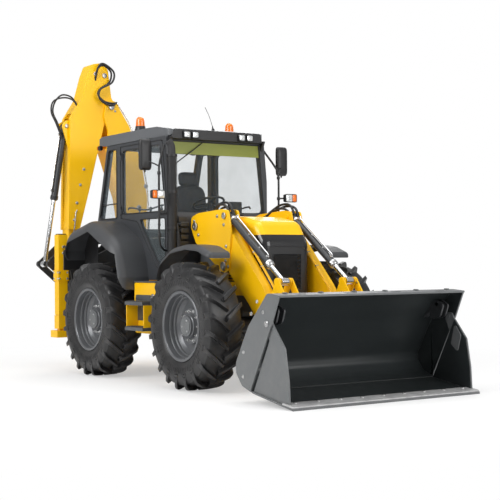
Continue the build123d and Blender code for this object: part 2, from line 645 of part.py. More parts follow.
def roof_lamps():
    """Beacons, work lamps and the rear lamps on the roof."""
    z0 = CAB_EAVES_Z + ROOF_T + 2 * SEAT_GAP
    x = CAB_FRONT_TOP - 690
    y = CAB_HALF_W - 52
    lamps = Part()
    for side in (-1, 1):
        lamps += Pos(x, side * y, z0 + 20) * Cylinder(60, 40)
        lamps += Pos(x, side * y, z0 + 85) * Cylinder(48, 90)
        for out in (y - 318, y - 203):
            lamps += block(ROOF_FRONT + SEAT_GAP, ROOF_FRONT + 25, side * out - 42, side * out + 42, CAB_EAVES_Z - 20, CAB_EAVES_Z + 60)
            lamps += block(ROOF_REAR - 35, ROOF_REAR - SEAT_GAP, side * out - 42, side * out + 42, CAB_EAVES_Z + 10, CAB_EAVES_Z + 80)
    return lamps


# Loader
def loader_arms():
    """Both cranked arms with their elbow plates and the cross tube that joins them."""
    px, pz = ARM_PIVOT
    tx, tz = TILT_BASE
    lx, lz = LIFT_EYE
    ix, iz = LEVER_PIVOT
    bx, bz = BUCKET_PIVOT
    axle_x = WHEELBASE
    rear = [(px - 100, pz - 20), (px - 100, pz + 110), (px + 60, pz + 150), (tx - 60, tz + 75), (tx + 65, tz + 60)]
    rear += [(axle_x + 93, 1720), (axle_x + 33, 1300), (lx + 20, lz - 75), (lx - 60, lz - 60), (px, pz - 190)]
    rear_radii = [70, 70, 60, 60, 50, 120, 40, 30, 40, 80]
    front = [(axle_x - 27, 1800), (axle_x + 93, 1695), (axle_x + 653, 1130), (axle_x + 783, 950), (axle_x + 963, 560)]
    front += [(bx + 70, bz + 60), (bx + 50, bz - 70), (bx - 90, bz - 40)]
    front += [(axle_x + 673, 640), (axle_x + 393, 935), (axle_x + 15, 1270)]
    front_radii = [20, 60, 60, 60, 60, 50, 50, 40, 60, 40, 20]
    arm = side_plate(front, -ARM_Y, 2 * ARM_HALF, front_radii)
    gap = ARM_HALF + ELBOW_T / 2
    for off in (-gap, gap):
        arm += side_plate(rear, -ARM_Y + off, ELBOW_T, rear_radii)
    core = [(px - 80, pz - 60), (px - 80, pz + 90), (px + 60, pz + 120), (tx - 190, tz + 40), (tx - 90, tz - 130)]
    core += [(axle_x + 23, 1640), (axle_x - 7, 1480), (px, pz - 150)]
    arm += side_plate(core, -ARM_Y, 2 * ARM_HALF + 2, [60, 60, 30, 30, 60, 30, 30, 60])
    arm -= cross_pin(ARM_PIVOT, -ARM_Y - 100, -ARM_Y + 100, 40 + SEAT_GAP)
    arm -= side_plate(strip((lx, lz), (lx + 72, lz - 60), 52), -ARM_Y, 2 * (EYE_HALF + 6), 51)
    bosses = [  # place, half length, radius
        (BUCKET_PIVOT, LINK_OFF - LINK_T / 2 - 6, 62),
        (LEVER_PIVOT, LEVER_OFF - LINK_T / 2 - 2, 50),
        (LEVER_PIVOT, LEVER_OFF + LINK_T / 2 + 4, PIN_R),
        (TILT_BASE, ARM_HALF + ELBOW_T + 10, PIN_R),
    ]
    for place, half, r in bosses:
        arm += cross_pin(place, -ARM_Y - half, -ARM_Y + half, r)
    arm -= cross_pin(BUCKET_PIVOT, -ARM_Y - LINK_OFF, -ARM_Y + LINK_OFF, PIN_R + SEAT_GAP)
    for side in (-1, 1):
        arm += cross_pin(LIFT_EYE, -ARM_Y + side * (ARM_HALF + 2), -ARM_Y + side * (ARM_HALF + ELBOW_T + 10), 45)
    arms = both_sides(arm)
    arms += cross_pin((axle_x + 593, 880), -ARM_Y + ARM_HALF - 5, ARM_Y - ARM_HALF + 5, 65)
    return arms


# Loader bucket
def ahead(points):
    """Corners that are given ahead of the front axle, moved to their place."""
    return [(WHEELBASE + x, z) for x, z in points]


BUCKET_BACK = ahead([  # outer side of the back plate, from the top lip down to the heel
    (1957, 1065), (1763, 1082), (1436, 754), (1220, 395), (1218, 287), (1323, 167)])
BUCKET_ROOM = ahead([(1333, 185), (1238, 300), (1240, 385), (1453, 742), (1778, 1060)])


def loader_bucket():
    """The fixed half of the four-in-one bucket: back plate, side plates and the hinge ears."""
    heel = ahead([(1483, 118), (1483, 118 + BUCKET_SKIN)])
    lip = ahead([(1957, 1045)])
    radii = [0, 60, 120, 60, 60, 80, 0, 0, 66, 46, 46, 134, 40, 0]
    shell = side_plate(BUCKET_BACK + heel + BUCKET_ROOM + lip, 0, 2 * BUCKET_HALF_W, radii)
    cheek = BUCKET_BACK + ahead([(1463, 122), (1828, 785)])
    for side in (-1, 1):
        y = side * (BUCKET_HALF_W - BUCKET_SIDE_T / 2)
        shell += side_plate(cheek, y, BUCKET_SIDE_T, [20, 60, 120, 60, 60, 80, 0, 10])
    hx, hz = BUCKET_PIVOT
    kx, kz = LINK_PIVOT
    ear = [(hx - 75, hz - 30), (hx + 20, hz - 80), (kx - 10, 240), (kx + 160, 740), (kx + 220, 815), (kx - 20, kz + 65), (kx - 75, kz + 20)]
    ears = Part()
    for off in (-EAR_OFF, EAR_OFF):
        ears += side_plate(ear, -ARM_Y + off, EAR_T, [60, 60, 0, 0, 0, 50, 40])
    ears -= side_plate(BUCKET_ROOM + ahead([(2193, 1100), (2193, 100)]), -ARM_Y, 400)
    reach = EAR_OFF + EAR_T / 2 + 8
    ears += cross_pin(BUCKET_PIVOT, -ARM_Y - reach, -ARM_Y + reach, PIN_R)
    ears += cross_pin(LINK_PIVOT, -ARM_Y - EAR_OFF - EAR_T / 2, -ARM_Y + EAR_OFF + EAR_T / 2, PIN_R)
    shell += both_sides(ears)
    shell += both_sides(cross_pin(CLAM_PIVOT, -BUCKET_HALF_W, -BUCKET_HALF_W + CLAM_IN + BUCKET_SIDE_T + 4, 20))
    return shell


def bucket_clam():
    """The moving jaw: floor plate with its edge, cheeks inside the fixed ones and hinge straps."""
    jaw = side_plate(ahead([(1495, 110), (2164, 0), (2164, 22), (1993, 45), (1495, 126)]), 0, 2 * BUCKET_HALF_W)
    px, pz = CLAM_PIVOT
    cheek = ahead([(1840, 766), (2014, 568), (2067, 274), (2083, 14), (1643, 86), (1491, 113)])
    strap = [(px - 40, pz + 45), (px + 45, pz + 40)] + ahead([(1883, 700), (1903, 540), (1813, 530)]) + [(px - 45, pz - 30)]
    doubler = ahead([(1853, 720), (1943, 600), (1893, 420), (1793, 500)])
    for side in (-1, 1):
        y = side * (BUCKET_HALF_W - CLAM_IN - BUCKET_SIDE_T / 2)
        jaw += side_plate(cheek, y, BUCKET_SIDE_T, [10, 60, 60, 0, 0, 0])
        jaw += side_plate(strap, y, BUCKET_SIDE_T, [30, 30, 20, 20, 10, 30])
        jaw += side_plate(doubler, y - side * 6, BUCKET_SIDE_T + 12, 20)
    jaw -= cross_pin(CLAM_PIVOT, -BUCKET_HALF_W, BUCKET_HALF_W, 20 + SEAT_GAP)
    return jaw


def loader_rams():
    """Lift and tilt cylinders, barrels apart from rods, on both sides."""
    def pin_at(place, half, r):
        return cross_pin((place[0], place[2]), place[1] - half, place[1] + half, r)

    def point(place):
        return (place[0], -ARM_Y, place[1])

    lift = ram(point(LIFT_BASE), point(LIFT_EYE), 50, 30, 900, 92, pin_at)
    tilt = ram(point(TILT_BASE), point(LEVER_TOP), 42, 27, 960, 298, pin_at)
    return [both_sides(piece) for piece in (*lift, *tilt)]


def strip(a, b, half_w):
    """A bar's outline round two pin centres in a plane."""
    ax, az = a
    bx, bz = b
    length = math.hypot(bx - ax, bz - az)
    dx, dz = (bx - ax) / length * half_w, (bz - az) / length * half_w
    return [(ax - dx - dz, az - dz + dx), (bx + dx - dz, bz + dz + dx), (bx + dx + dz, bz + dz - dx), (ax - dx + dz, az - dz - dx)]


def link_pair(a, b, off, half_w, thick):
    """Two flat bars each side of an arm, joining pins a and b."""
    bars = Part()
    for side in (-off, off):
        bars += side_plate(strip(a, b, half_w), -ARM_Y + side, thick, half_w * 0.98)
    bars -= cross_pin(a, -ARM_Y - off - thick, -ARM_Y + off + thick, PIN_R + SEAT_GAP)
    return both_sides(bars)


# Backhoe
def swing_post():
    """The post that swings: barrel, cheeks to the boom's foot and the horn for its ram."""
    post = Pos(POST_X, POST_Y, (POST_Z0 + POST_Z1) / 2) * Cylinder(100, POST_Z1 - POST_Z0)
    fx, fz = BOOM_FOOT
    rx, rz = BOOM_RAM_BASE
    cheek = [(0, POST_Z0), (150, POST_Z0), (245, POST_Z0 + 58), (fx + 75, fz - 60), (fx + 60, fz + 70), (fx - 60, fz + 80), (rx + 80, rz + 40), (rx, rz + 65), (rx - 65, rz),
             (rx - 20, rz - 120), (90, fz), (125, POST_Z1 + 90), (125, POST_Z1 - 10), (0, POST_Z1)]
    off = BOOM_HALF + RUN_GAP + 12
    for side in (-off, off):
        post += arm_plate(cheek, side, 24, [0, 30, 60, 60, 60, 60, 40, 40, 40, 60, 60, 20, 0, 0])
    post += arm_plate([(60, POST_Z0 + 20), (230, POST_Z0 + 62), (200, POST_Z1 - 20), (60, POST_Z1 - 20)], 0, 2 * off)
    post -= Pos(POST_X, POST_Y, (POST_Z0 + POST_Z1) / 2) * Cylinder(POST_R + SEAT_GAP, POST_Z1 - POST_Z0 + 10)
    for place in (BOOM_FOOT, BOOM_RAM_BASE):
        for side in (-1, 1):
            post += arm_pin(place, 6, 40, side * (off + 12))
    post += arm_pin(BOOM_FOOT, off, 35)
    post += arm_pin(BOOM_RAM_BASE, off, PIN_R)
    return post


def shift_carriage():
    """The carriage that slides across the rear frame and holds the swing post's pin."""
    x0 = POST_X + BOOM_HALF + RUN_GAP + 40
    z_low, z_high = SHIFT_RAIL_Z
    plate = block(x0, RAIL_BACK_X - 40, POST_Y - CARRIAGE_HALF_W, POST_Y + CARRIAGE_HALF_W, z_low - 60, z_high + 60)
    for z in (z_low, z_high):
        plate += block(RAIL_BACK_X - 40, RAIL_BACK_X - SEAT_GAP, POST_Y - CARRIAGE_HALF_W, POST_Y + CARRIAGE_HALF_W, z - SHIFT_RAIL_H / 2 - 15, z + SHIFT_RAIL_H / 2 + 15)
    for z0 in (POST_Z0 - RUN_GAP - LUG_T, POST_Z1 + RUN_GAP):
        lug = block(POST_X, x0 + 10, POST_Y - LUG_R, POST_Y + LUG_R, z0, z0 + LUG_T)
        lug += Pos(POST_X, POST_Y, z0 + LUG_T / 2) * Cylinder(LUG_R, LUG_T)
        plate += lug
    plate += Pos(POST_X, POST_Y, (POST_Z0 + POST_Z1) / 2) * Cylinder(POST_R, POST_Z1 - POST_Z0 + 2 * (RUN_GAP + LUG_T))
    return plate


def boom():
    """The boom: two side plates closed into a box, forked at the dipper."""
    fx, fz = BOOM_FOOT
    ax, az = BOOM_TOP
    side = [(fx - 75, fz - 60), (fx + 75, fz - 60), (fx + 120, 1700), (500, 2300), (640, 2660), (740, 2950), (725, 3180), (790, 3380), (ax + 70, az + 85),
            (ax - 60, az + 85), (400, 3260), (215, 2760), (130, 2300), (150, 1650)]
    radii = [60, 60, 300, 300, 200, 60, 60, 60, 50, 60, 120, 400, 300, 300]
    arm = arm_plate(side, 0, 2 * BOOM_HALF, radii)
    slot = [(560, 3000), (900, 2900), (900, 3800), (560, 3800), (480, 3400)]
    arm -= arm_plate(slot, 0, 2 * (DIPPER_HALF + RUN_GAP), [80, 0, 0, 0, 60])
    rx, rz = BOOM_RAM_EYE
    slot = [(fx - 48, fz - 80), (fx - 40, fz + 90), (332, 1300), (332, 1690), (rx + 178, rz - 20), (rx + 178, rz + 90)]
    slot += [(rx, rz + 150), (-100, rz + 200), (-100, fz - 80)]
    arm -= arm_plate(slot, 0, 140, [0, 40, 60, 60, 40, 40, 60, 0, 0])
    dx, dz = DIPPER_RAM_BASE
    arm -= arm_plate([(dx + 75, dz - 90), (dx + 100, dz + 60), (520, 3150), (660, 3700), (0, 3700), (0, dz - 90)], 0, 140, [40, 60, 60, 0, 0, 0])
    arm -= arm_pin(BOOM_FOOT, BOOM_HALF + 5, 35 + SEAT_GAP)
    arm += arm_pin(BOOM_TOP, BOOM_HALF + 8, 35)
    arm += arm_pin(DIPPER_RAM_BASE, BOOM_HALF, PIN_R)
    return arm


def along_slide(u, z, at_z):
    """The reach, at the height at_z, of a line through (u, z) that runs with the extension's slide."""
    return u + (z - at_z) * SLIDE_LEAN


def channel_side(z_low, z_high, inset):
    """The long outline of the dipper's channel between two heights, drawn in by the inset."""
    return [
        (along_slide(CHANNEL_U0, 2370, z_low) + inset, z_low),
        (along_slide(CHANNEL_U1, 2370, z_low) - inset, z_low),
        (along_slide(CHANNEL_U1, 2370, z_high) - inset, z_high),
        (along_slide(CHANNEL_U0, 2370, z_high) + inset, z_high),
    ]


def dipper():
    """The dipper's outer box with its tail plates, open in front for the extension's bracket."""
    ax, az = BOOM_TOP
    tail_u, tail_z = DIPPER_TAIL
    side = [(ax + 145, az + 590), (ax + 30, az + 520), (ax - 20, az + 130), (ax - 95, az + 20), (ax - 60, az - 90), (ax + 60, az - 130), (862, 2920), (1000, 2374), (1145, 1840),
            (1306, 1840), (1296, 2366), (1286, 2767), (1274, 3330), (1104, 3600), (1012, 3924), (950, 4080)]
    radii = [60, 80, 60, 60, 60, 60, 100, 0, 0, 0, 0, 0, 60, 100, 60, 60]
    body = arm_plate(side, 0, 2 * DIPPER_HALF, radii)
    body -= arm_plate(channel_side(1800, 3340, 0), 0, 2 * (EXTENSION_HALF + RUN_GAP))
    body -= arm_plate([(1250, 1800), (1400, 1800), (1400, 3400), (1200, 3400)], 0, 2 * (BRACKET_HALF + RUN_GAP))
    body -= arm_plate([(ax - 200, az - 200), (ax + 60, az - 180), (ax + 100, az + 200), (tail_u + 165, tail_z - 70), (tail_u + 165, 4200), (500, 4200)], 0, 110)
    pads = arm_plate(channel_side(1852, 1950, 0), 0, 2 * (EXTENSION_HALF + RUN_GAP) + 2)
    pads -= arm_plate(channel_side(1800, 2000, RUN_GAP - SEAT_GAP), 0, 2 * (EXTENSION_HALF + SEAT_GAP))
    body += pads
    body -= arm_pin(BOOM_TOP, DIPPER_HALF + 5, 35 + SEAT_GAP)
    return body


def dipper_extension():
    """The dipper's sliding inner box down to the bucket pin, with the bracket for the bucket's ram."""
    tx, tz = DIPPER_TIP
    low = channel_side(1560, 3150, RUN_GAP)
    side = [low[3], low[0], (tx - 62, tz - 20), (tx, tz - 66), (tx + 62, tz - 20), low[1], low[2]]
    body = arm_plate(side, 0, 2 * EXTENSION_HALF, [10, 60, 40, 50, 40, 60, 10])
    body += arm_plate(channel_side(3030, 3130, SEAT_GAP), 0, 2 * (EXTENSION_HALF + RUN_GAP - SEAT_GAP))
    u_face = along_slide(CHANNEL_U1, 2370, 3100) - RUN_GAP
    bracket = [(u_face - 30, 2880), (u_face, 2880), (1368, 3215), (1352, 3268), (1300, 3300), (u_face - 30, 3330)]
    for side_off in (-BRACKET_HALF + 9, BRACKET_HALF - 9):
        body += arm_plate(bracket, side_off, 18, [0, 20, 60, 40, 50, 0])
    body += arm_pin(CURL_BASE, BRACKET_HALF, PIN_R)
    body -= arm_pin(DIPPER_TIP, EXTENSION_HALF + 5, 32 + SEAT_GAP)
    body += arm_pin(CURL_LEVER_PIVOT, EXTENSION_HALF + 56, PIN_R)
    return body


def digging_bucket():
    """The digging bucket: curved shell, two cheeks, ears and teeth."""
    tx, tz = DIPPER_TIP
    ex, ez = DIG_LINK_PIVOT
    half = DIG_BUCKET_W / 2
    cheek = [(1150, 1440), (1120, 1280), (1100, 1090), (1010, 945), (870, 905), (745, 1010), (668, 1220),
             (618, 1500), (600, 1700), (690, 1612), (1060, 1440)]
    solid = arm_plate(cheek, 0, DIG_BUCKET_W, [0, 60, 80, 80, 100, 120, 200, 200, 0, 100, 0])
    room = [(1134, 1500), (1104, 1282), (1084, 1094), (1002, 961), (872, 922), (757, 1020), (683, 1224),
            (634, 1503), (615, 1705), (650, 1760), (1100, 1550)]
    solid -= arm_plate(room, 0, DIG_BUCKET_W - 2 * 16, [0, 50, 64, 64, 84, 104, 190, 190, 0, 0, 0])
    return solid


def digging_teeth():
    """Five teeth along the digging bucket's lip."""
    teeth = Part()
    count = 5
    pitch = (DIG_BUCKET_W - 90) / (count - 1)
    for i in range(count):
        off = -DIG_BUCKET_W / 2 + 45 + pitch * i
        teeth += arm_plate([(592, 1655), (652, 1645), (618, 1712), (570, 1828), (588, 1712)], off, 50)
    return teeth


def dig_ears():
    """The bucket's two ears, from the bucket pin to the link pin."""
    tx, tz = DIPPER_TIP
    ex, ez = DIG_LINK_PIVOT
    ear = [(tx - 30, tz + 66), (tx + 62, tz + 30), (tx + 40, tz - 120), (ex + 66, ez + 10), (ex + 20, ez - 62), (1040, 980), (1100, 1200), (1130, 1410)]
    ears = Part()
    for off in (-EXTENSION_HALF - 15, EXTENSION_HALF + 15):
        ears += arm_plate(ear, off, 18, [50, 50, 80, 50, 50, 0, 0, 0])
    room = [(1134, 1500), (1104, 1282), (1084, 1094), (1002, 961), (872, 922), (400, 922), (400, 1500)]
    ears -= arm_plate(room, 0, 400, [0, 50, 64, 64, 0, 0, 0])
    ears += arm_pin(DIPPER_TIP, EXTENSION_HALF + 24, 32)
    ears += arm_pin(DIG_LINK_PIVOT, EXTENSION_HALF + 80, PIN_R)
    return ears


def arm_link(a, b, off, half_w, thick):
    """Two flat bars each side of the dipper, joining pins a and b."""
    bars = Part()
    for side in (-off, off):
        bars += arm_plate(strip(a, b, half_w), side, thick, half_w * 0.98)
    return bars - arm_pin(a, off + thick, PIN_R + SEAT_GAP)


def backhoe_rams():
    """Boom, dipper and bucket cylinders, barrels apart from rods."""
    def pin_at(place, half, r):
        return Pos(*place) * Rot(0, 90, 0) * Cylinder(r, 2 * half)

    pairs = [  # base, eye, barrel radius, rod radius, barrel length, rod start
        (BOOM_RAM_BASE, BOOM_RAM_EYE, 60, 32, 880, 65),
        (DIPPER_RAM_BASE, DIPPER_TAIL, 52, 30, 960, 645),
        (CURL_BASE, CURL_JOINT, 45, 27, 1000, 824),
    ]
    made = []
    for base, eye, barrel_r, rod_r, length, start in pairs:
        made.extend(ram(reach_point(base), reach_point(eye), barrel_r, rod_r, length, start, pin_at))
    return made


# Rear frame and stabilisers
def rear_frame():
    """The cross frame that carries the stabilisers and the carriage's two rails."""
    z_low, z_high = SHIFT_RAIL_Z
    half = LEG_OUTER / 2
    inner = LEG_Y - half
    foot_side = LEG_Y - FOOT_HALF - 10
    front = LEG_X + half
    frame = block(RAIL_BACK_X + 55, RAIL_REAR - SEAT_GAP, -foot_side, foot_side, z_low - 60, z_high + 60)
    for y in (-390, 390):
        frame -= block(RAIL_BACK_X, RAIL_REAR + 50, y - 210, y + 210, z_low + 60, z_high - 60)
    for z in (z_low, z_high):
        frame += block(RAIL_BACK_X, RAIL_BACK_X + 70, -foot_side, foot_side, z - SHIFT_RAIL_H / 2, z + SHIFT_RAIL_H / 2)
    for side in (-1, 1):
        y = side * LEG_Y
        tube = block(LEG_X - half, front, y - half, y + half, LEG_BOTTOM_Z, LEG_TOP_Z)
        tube += block(LEG_X - half - 12, front + 12, y - half - 12, y + half + 12, 1160, 1300)
        tube -= block(LEG_X - half + LEG_WALL, front - LEG_WALL, y - half + LEG_WALL, y + half - LEG_WALL, LEG_BOTTOM_Z - 10, LEG_TOP_Z - 12)
        guide = block(LEG_X - half + 2, front - 2, y - half + 2, y + half - 2, LEG_BOTTOM_Z, LEG_BOTTOM_Z + 60)
        tight = LEG_INNER + SEAT_GAP
        frame += tube + guide - block(LEG_X - tight, LEG_X + tight, y - tight, y + tight, LEG_BOTTOM_Z - 10, LEG_BOTTOM_Z + 70)
        y0, y1 = sorted((side * (foot_side - 200), side * (inner + 2)))
        frame += block(RAIL_BACK_X + 55, front, y0, y1, LEG_BOTTOM_Z + 20, z_high + 60)
    return frame


def stabiliser_leg():
    """The right-hand leg: inner box, socket and foot."""
    half = LEG_INNER
    pad = LEG_OUTER / 2 - LEG_WALL - SEAT_GAP
    leg = block(LEG_X - pad, LEG_X + pad, -LEG_Y - pad, -LEG_Y + pad, LEG_TOP_Z - 160, LEG_TOP_Z - 80)
    leg += block(LEG_X - half, LEG_X + half, -LEG_Y - half, -LEG_Y + half, FOOT_Z + 110, LEG_TOP_Z - 60)
    leg += block(LEG_X - 66, LEG_X + 66, -LEG_Y - 66, -LEG_Y + 66, FOOT_Z + 110, LEG_BOTTOM_Z - RUN_GAP)
    leg += block(LEG_X - FOOT_HALF - 10, LEG_X + FOOT_HALF - 10, -LEG_Y - FOOT_HALF, -LEG_Y + FOOT_HALF, FOOT_Z, FOOT_Z + 90)
    leg += block(LEG_X - 40, LEG_X + 40, -LEG_Y - 40, -LEG_Y + 40, FOOT_Z + 80, FOOT_Z + 120)
    return leg


def write(name, shape):
    """Move a piece to the shared frame and write its file."""
    export_step(Pos(AXLE_SHIFT, 0, 0) * shape, f"parts/{name}.step")


one_tyre = tyre()
for name, x, side in WHEELS:
    write(f"tyre_{name}", at_wheel(one_tyre, x, side))
    write(f"rim_{name}", at_wheel(rim(), x, side))
    write(f"knuckle_{name}", at_wheel(knuckle(), x, side))

write("front_axle", axle(WHEELBASE))
write("rear_axle", axle(0))
write("main_frame", main_frame())
write("engine_block", engine_block())
write("hood", hood())
write("grille", grille())
write("cab_frame", cab_frame())
write("cab_glazing", cab_glazing())
write("cab_roof", cab_roof())
write("seat", seat())
write("steering_console", steering_console())
write("fenders", fenders())
write("side_boxes", side_boxes())
write("steps", steps())
write("exhaust_stack", exhaust_stack())
write("mirror_rails", mirror_rails())
write("roof_lamps", roof_lamps())
write("rear_frame", rear_frame())

write("door_right", door())
write("door_left", mirrored(door()))
write("door_glass_right", door_glass())
write("door_glass_left", mirrored(door_glass()))

write("loader_arms", loader_arms())
for name, piece in zip(("lift_barrels", "lift_rods", "tilt_barrels", "tilt_rods"), loader_rams()):
    write(name, piece)
write("tilt_levers", link_pair(LEVER_PIVOT, LEVER_TOP, LEVER_OFF, 42, LINK_T))
write("bucket_links", link_pair(LINK_PIVOT, LEVER_TOP, LINK_OFF, 42, LINK_T))
write("loader_bucket", loader_bucket())
write("bucket_clam", bucket_clam())

write("shift_carriage", shift_carriage())
write("swing_post", swing_post())
write("boom", boom())
write("dipper", dipper())
write("dipper_extension", dipper_extension())
for name, piece in zip(("boom_barrel", "boom_rod", "dipper_barrel", "dipper_rod", "curl_barrel", "curl_rod"), backhoe_rams()):
    write(name, piece)
write("curl_lever", arm_link(CURL_LEVER_PIVOT, CURL_JOINT, EXTENSION_HALF + 44, 42, 18))
write("curl_link", arm_link(DIG_LINK_PIVOT, CURL_JOINT, EXTENSION_HALF + 68, 42, 18))
write("digging_bucket", digging_bucket() + digging_teeth() + dig_ears())
write("leg_right", stabiliser_leg())
write("leg_left", mirrored(stabiliser_leg()))
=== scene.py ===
import bpy
import bmesh
from math import copysign, cos, radians, sin, tau
from mathutils import Vector, Matrix, Quaternion


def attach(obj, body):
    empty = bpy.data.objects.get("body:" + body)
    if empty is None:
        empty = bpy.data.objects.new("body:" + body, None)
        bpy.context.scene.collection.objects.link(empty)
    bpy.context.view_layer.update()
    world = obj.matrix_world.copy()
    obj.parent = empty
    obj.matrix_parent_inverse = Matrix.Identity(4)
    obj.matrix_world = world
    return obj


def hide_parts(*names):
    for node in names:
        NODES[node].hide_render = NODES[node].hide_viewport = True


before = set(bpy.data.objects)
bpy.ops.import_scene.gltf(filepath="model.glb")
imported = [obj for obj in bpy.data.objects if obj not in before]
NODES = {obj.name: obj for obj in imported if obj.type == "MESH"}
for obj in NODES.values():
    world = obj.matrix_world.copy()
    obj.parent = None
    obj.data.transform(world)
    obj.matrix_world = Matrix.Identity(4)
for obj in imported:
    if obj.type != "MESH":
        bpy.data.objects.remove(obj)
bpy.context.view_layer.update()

SH = -1.4105          # rear axle to the row's origin, along X
WB = 2.207            # wheelbase
scene = bpy.context.scene
X, Y, Z = Vector((1, 0, 0)), Vector((0, 1, 0)), Vector((0, 0, 1))
SIDES = (-1, 1)       # right, left


def add_object(name, data):
    ob = bpy.data.objects.new(name, data)
    scene.collection.objects.link(ob)
    return ob


# Camera
FOCAL = 1185.34       # in pixels of a picture 500 wide
SENSOR = 36.0
ROLL = -0.0078
cam_data = bpy.data.cameras.new("camera")
cam_data.sensor_width = SENSOR
cam_data.lens = FOCAL * SENSOR / 500.0
cam = add_object("camera", cam_data)
eye, target = Vector((13.1954 + SH, -7.6766, 1.3671)), Vector((1.9259 + SH, 0.0, 1.5224))
aim = (target - eye).to_track_quat("-Z", "Y")
cam.rotation_mode = "QUATERNION"
cam.rotation_quaternion = aim @ Quaternion((0, 0, 1), ROLL)
cam.location = eye
scene.camera = cam


# Shader nodes
def plug(t, node, **inputs):
    """Sets a node's inputs, named with underscores, to values or to other nodes' outputs."""
    for name, value in inputs.items():
        socket = node.inputs[name.replace("_", " ")]
        if isinstance(value, bpy.types.NodeSocket):
            t.links.new(value, socket)
        else:
            socket.default_value = value
    return node


def add(t, kind, **inputs):
    return plug(t, t.nodes.new("ShaderNode" + kind), **inputs)


def math_node(t, op, a, b, kind="Math", out=0):
    m = add(t, kind)
    m.operation = op
    for i, v in enumerate((a, b)):
        if isinstance(v, (int, float)):
            m.inputs[i].default_value = v
        else:
            t.links.new(v, m.inputs[i])
    return m.outputs[out]


def times(t, a, b, c):
    return math_node(t, "MULTIPLY", math_node(t, "MULTIPLY", a, b), c)


def spread(t, value, lo, hi, **limits):
    """Maps a value on to the range from lo to hi."""
    return add(t, "MapRange", Value=value, To_Min=lo, To_Max=hi, **limits)


def noise(t, scale, detail=6.0, rough=0.55, stretch=None):
    mp = add(t, "Mapping", Vector=add(t, "TexCoord").outputs["Object"])
    if stretch:
        plug(t, mp, Scale=stretch)
    return add(t, "TexNoise", Scale=scale, Detail=detail, Roughness=rough, Vector=mp.outputs[0]).outputs["Fac"]


def ramp(t, source, stops):
    r = add(t, "ValToRGB", Fac=source)
    for e, (p, c) in zip(r.color_ramp.elements, stops):
        e.position = p
        e.color = (*c, 1)
    return r.outputs["Color"]


def blend_in(t, base, colour, amount):
    mix = add(t, "Mix")
    mix.data_type = "RGBA"
    return plug(t, mix, B=(*colour, 1), Factor=amount, A=base).outputs["Result"]


def nodes_of(mat, kind="BsdfPrincipled"):
    """Empties a material and gives its tree, its output and one shader that feeds it."""
    mat.use_nodes = True
    t = mat.node_tree
    t.nodes.clear()
    sh = add(t, kind)
    return t, add(t, "OutputMaterial", Surface=sh.outputs[0]), sh


def grey(v):
    return (v, v, v)


def shade(c, k):
    return tuple(min(1.0, v * k) for v in c)


# Light
STUDIO = 0.42         # the world's strength, and the floor's light at its middle
world = bpy.data.worlds.new("studio")
scene.world = world
world.use_nodes = True
wt = world.node_tree
wt.nodes.clear()
ray = add(wt, "LightPath")
seen = math_node(wt, "MAXIMUM", ray.outputs["Is Camera Ray"], ray.outputs["Is Transmission Ray"])
sky = add(wt, "Background", Color=(1, 1, 1, 1), Strength=spread(wt, seen, STUDIO, 1.0).outputs[0])
add(wt, "OutputWorld", Surface=sky.outputs[0])


def area(name, at, look, size, power):
    data = bpy.data.lights.new(name, "AREA")
    data.shape = "RECTANGLE"
    data.size, data.size_y = size
    data.energy = power
    ob = add_object(name, data)
    ob.location = at
    ob.rotation_mode = "QUATERNION"
    ob.rotation_quaternion = (Vector(look) - Vector(at)).to_track_quat("-Z", "Y")


area("key", (1.0, -9.5, 7.0), (0, 0, 1.2), (6, 5), 720)
area("fill", (10.0, 2.0, 4.5), (0, 0, 1.2), (6, 5), 420)
area("rim", (-7.0, 5.0, 6.0), (0, 0, 1.5), (5, 4), 260)
area("top", (0.5, 0.0, 9.5), (0, 0, 0), (8, 6), 430)


# Materials
def make(name, colour, rough, vary, scale, bump, bump_scale, metal=0.0, rough_vary=0.08, coat=0.0, dust=None,
         edge=None, edge_amount=0.5, spec=0.5, stretch=None, round_edge=0.004):
    """A painted, moulded or metal surface with clouding, dust low down, worn edges and fine relief.

    dust is its colour and its amount."""
    mat = bpy.data.materials.new(name)
    t, _, sh = nodes_of(mat)
    col = ramp(t, noise(t, scale, 6, 0.6, stretch), [(0.3, shade(colour, 1 - vary)),
        (0.7, shade(colour, 1 + vary))])
    geo = add(t, "NewGeometry")
    relief = add(t, "Bump", Strength=bump, Distance=0.002, Height=noise(t, bump_scale, 3, 0.5))
    if round_edge:
        bevel = add(t, "Bevel", Radius=round_edge)
        bevel.samples = 4
        plug(t, relief, Normal=bevel.outputs[0])
    if dust:
        height = add(t, "SeparateXYZ", Vector=geo.outputs["Position"]).outputs["Z"]
        low = spread(t, height, 0.15, 1.0, From_Min=1.4, From_Max=0.1).outputs[0]
        grit = ramp(t, noise(t, 9.0, 8, 0.7), [(0.42, grey(0)), (0.72, grey(1))])
        col = blend_in(t, col, dust[:3], times(t, low, grit, dust[3]))
    if edge and round_edge:
        bend = math_node(t, "DOT_PRODUCT", bevel.outputs[0], geo.outputs["Normal"], "VectorMath", "Value")
        bare = ramp(t, bend, [(0.82, grey(1)), (0.985, grey(0))])
        worn = ramp(t, noise(t, 22.0, 6, 0.7), [(0.4, grey(0)), (0.62, grey(1))])
        col = blend_in(t, col, grey(edge) if isinstance(edge, float) else edge, times(t, bare, worn, edge_amount))
    matt = spread(t, noise(t, scale * 4, 5, 0.6), max(0.02, rough - rough_vary), min(1.0, rough + rough_vary))
    plug(t, sh, Base_Color=col, Roughness=matt.outputs[0], Metallic=metal, Specular_IOR_Level=spec,
         Normal=relief.outputs[0])
    if coat:
        plug(t, sh, Coat_Weight=coat, Coat_Roughness=0.12)
    return mat


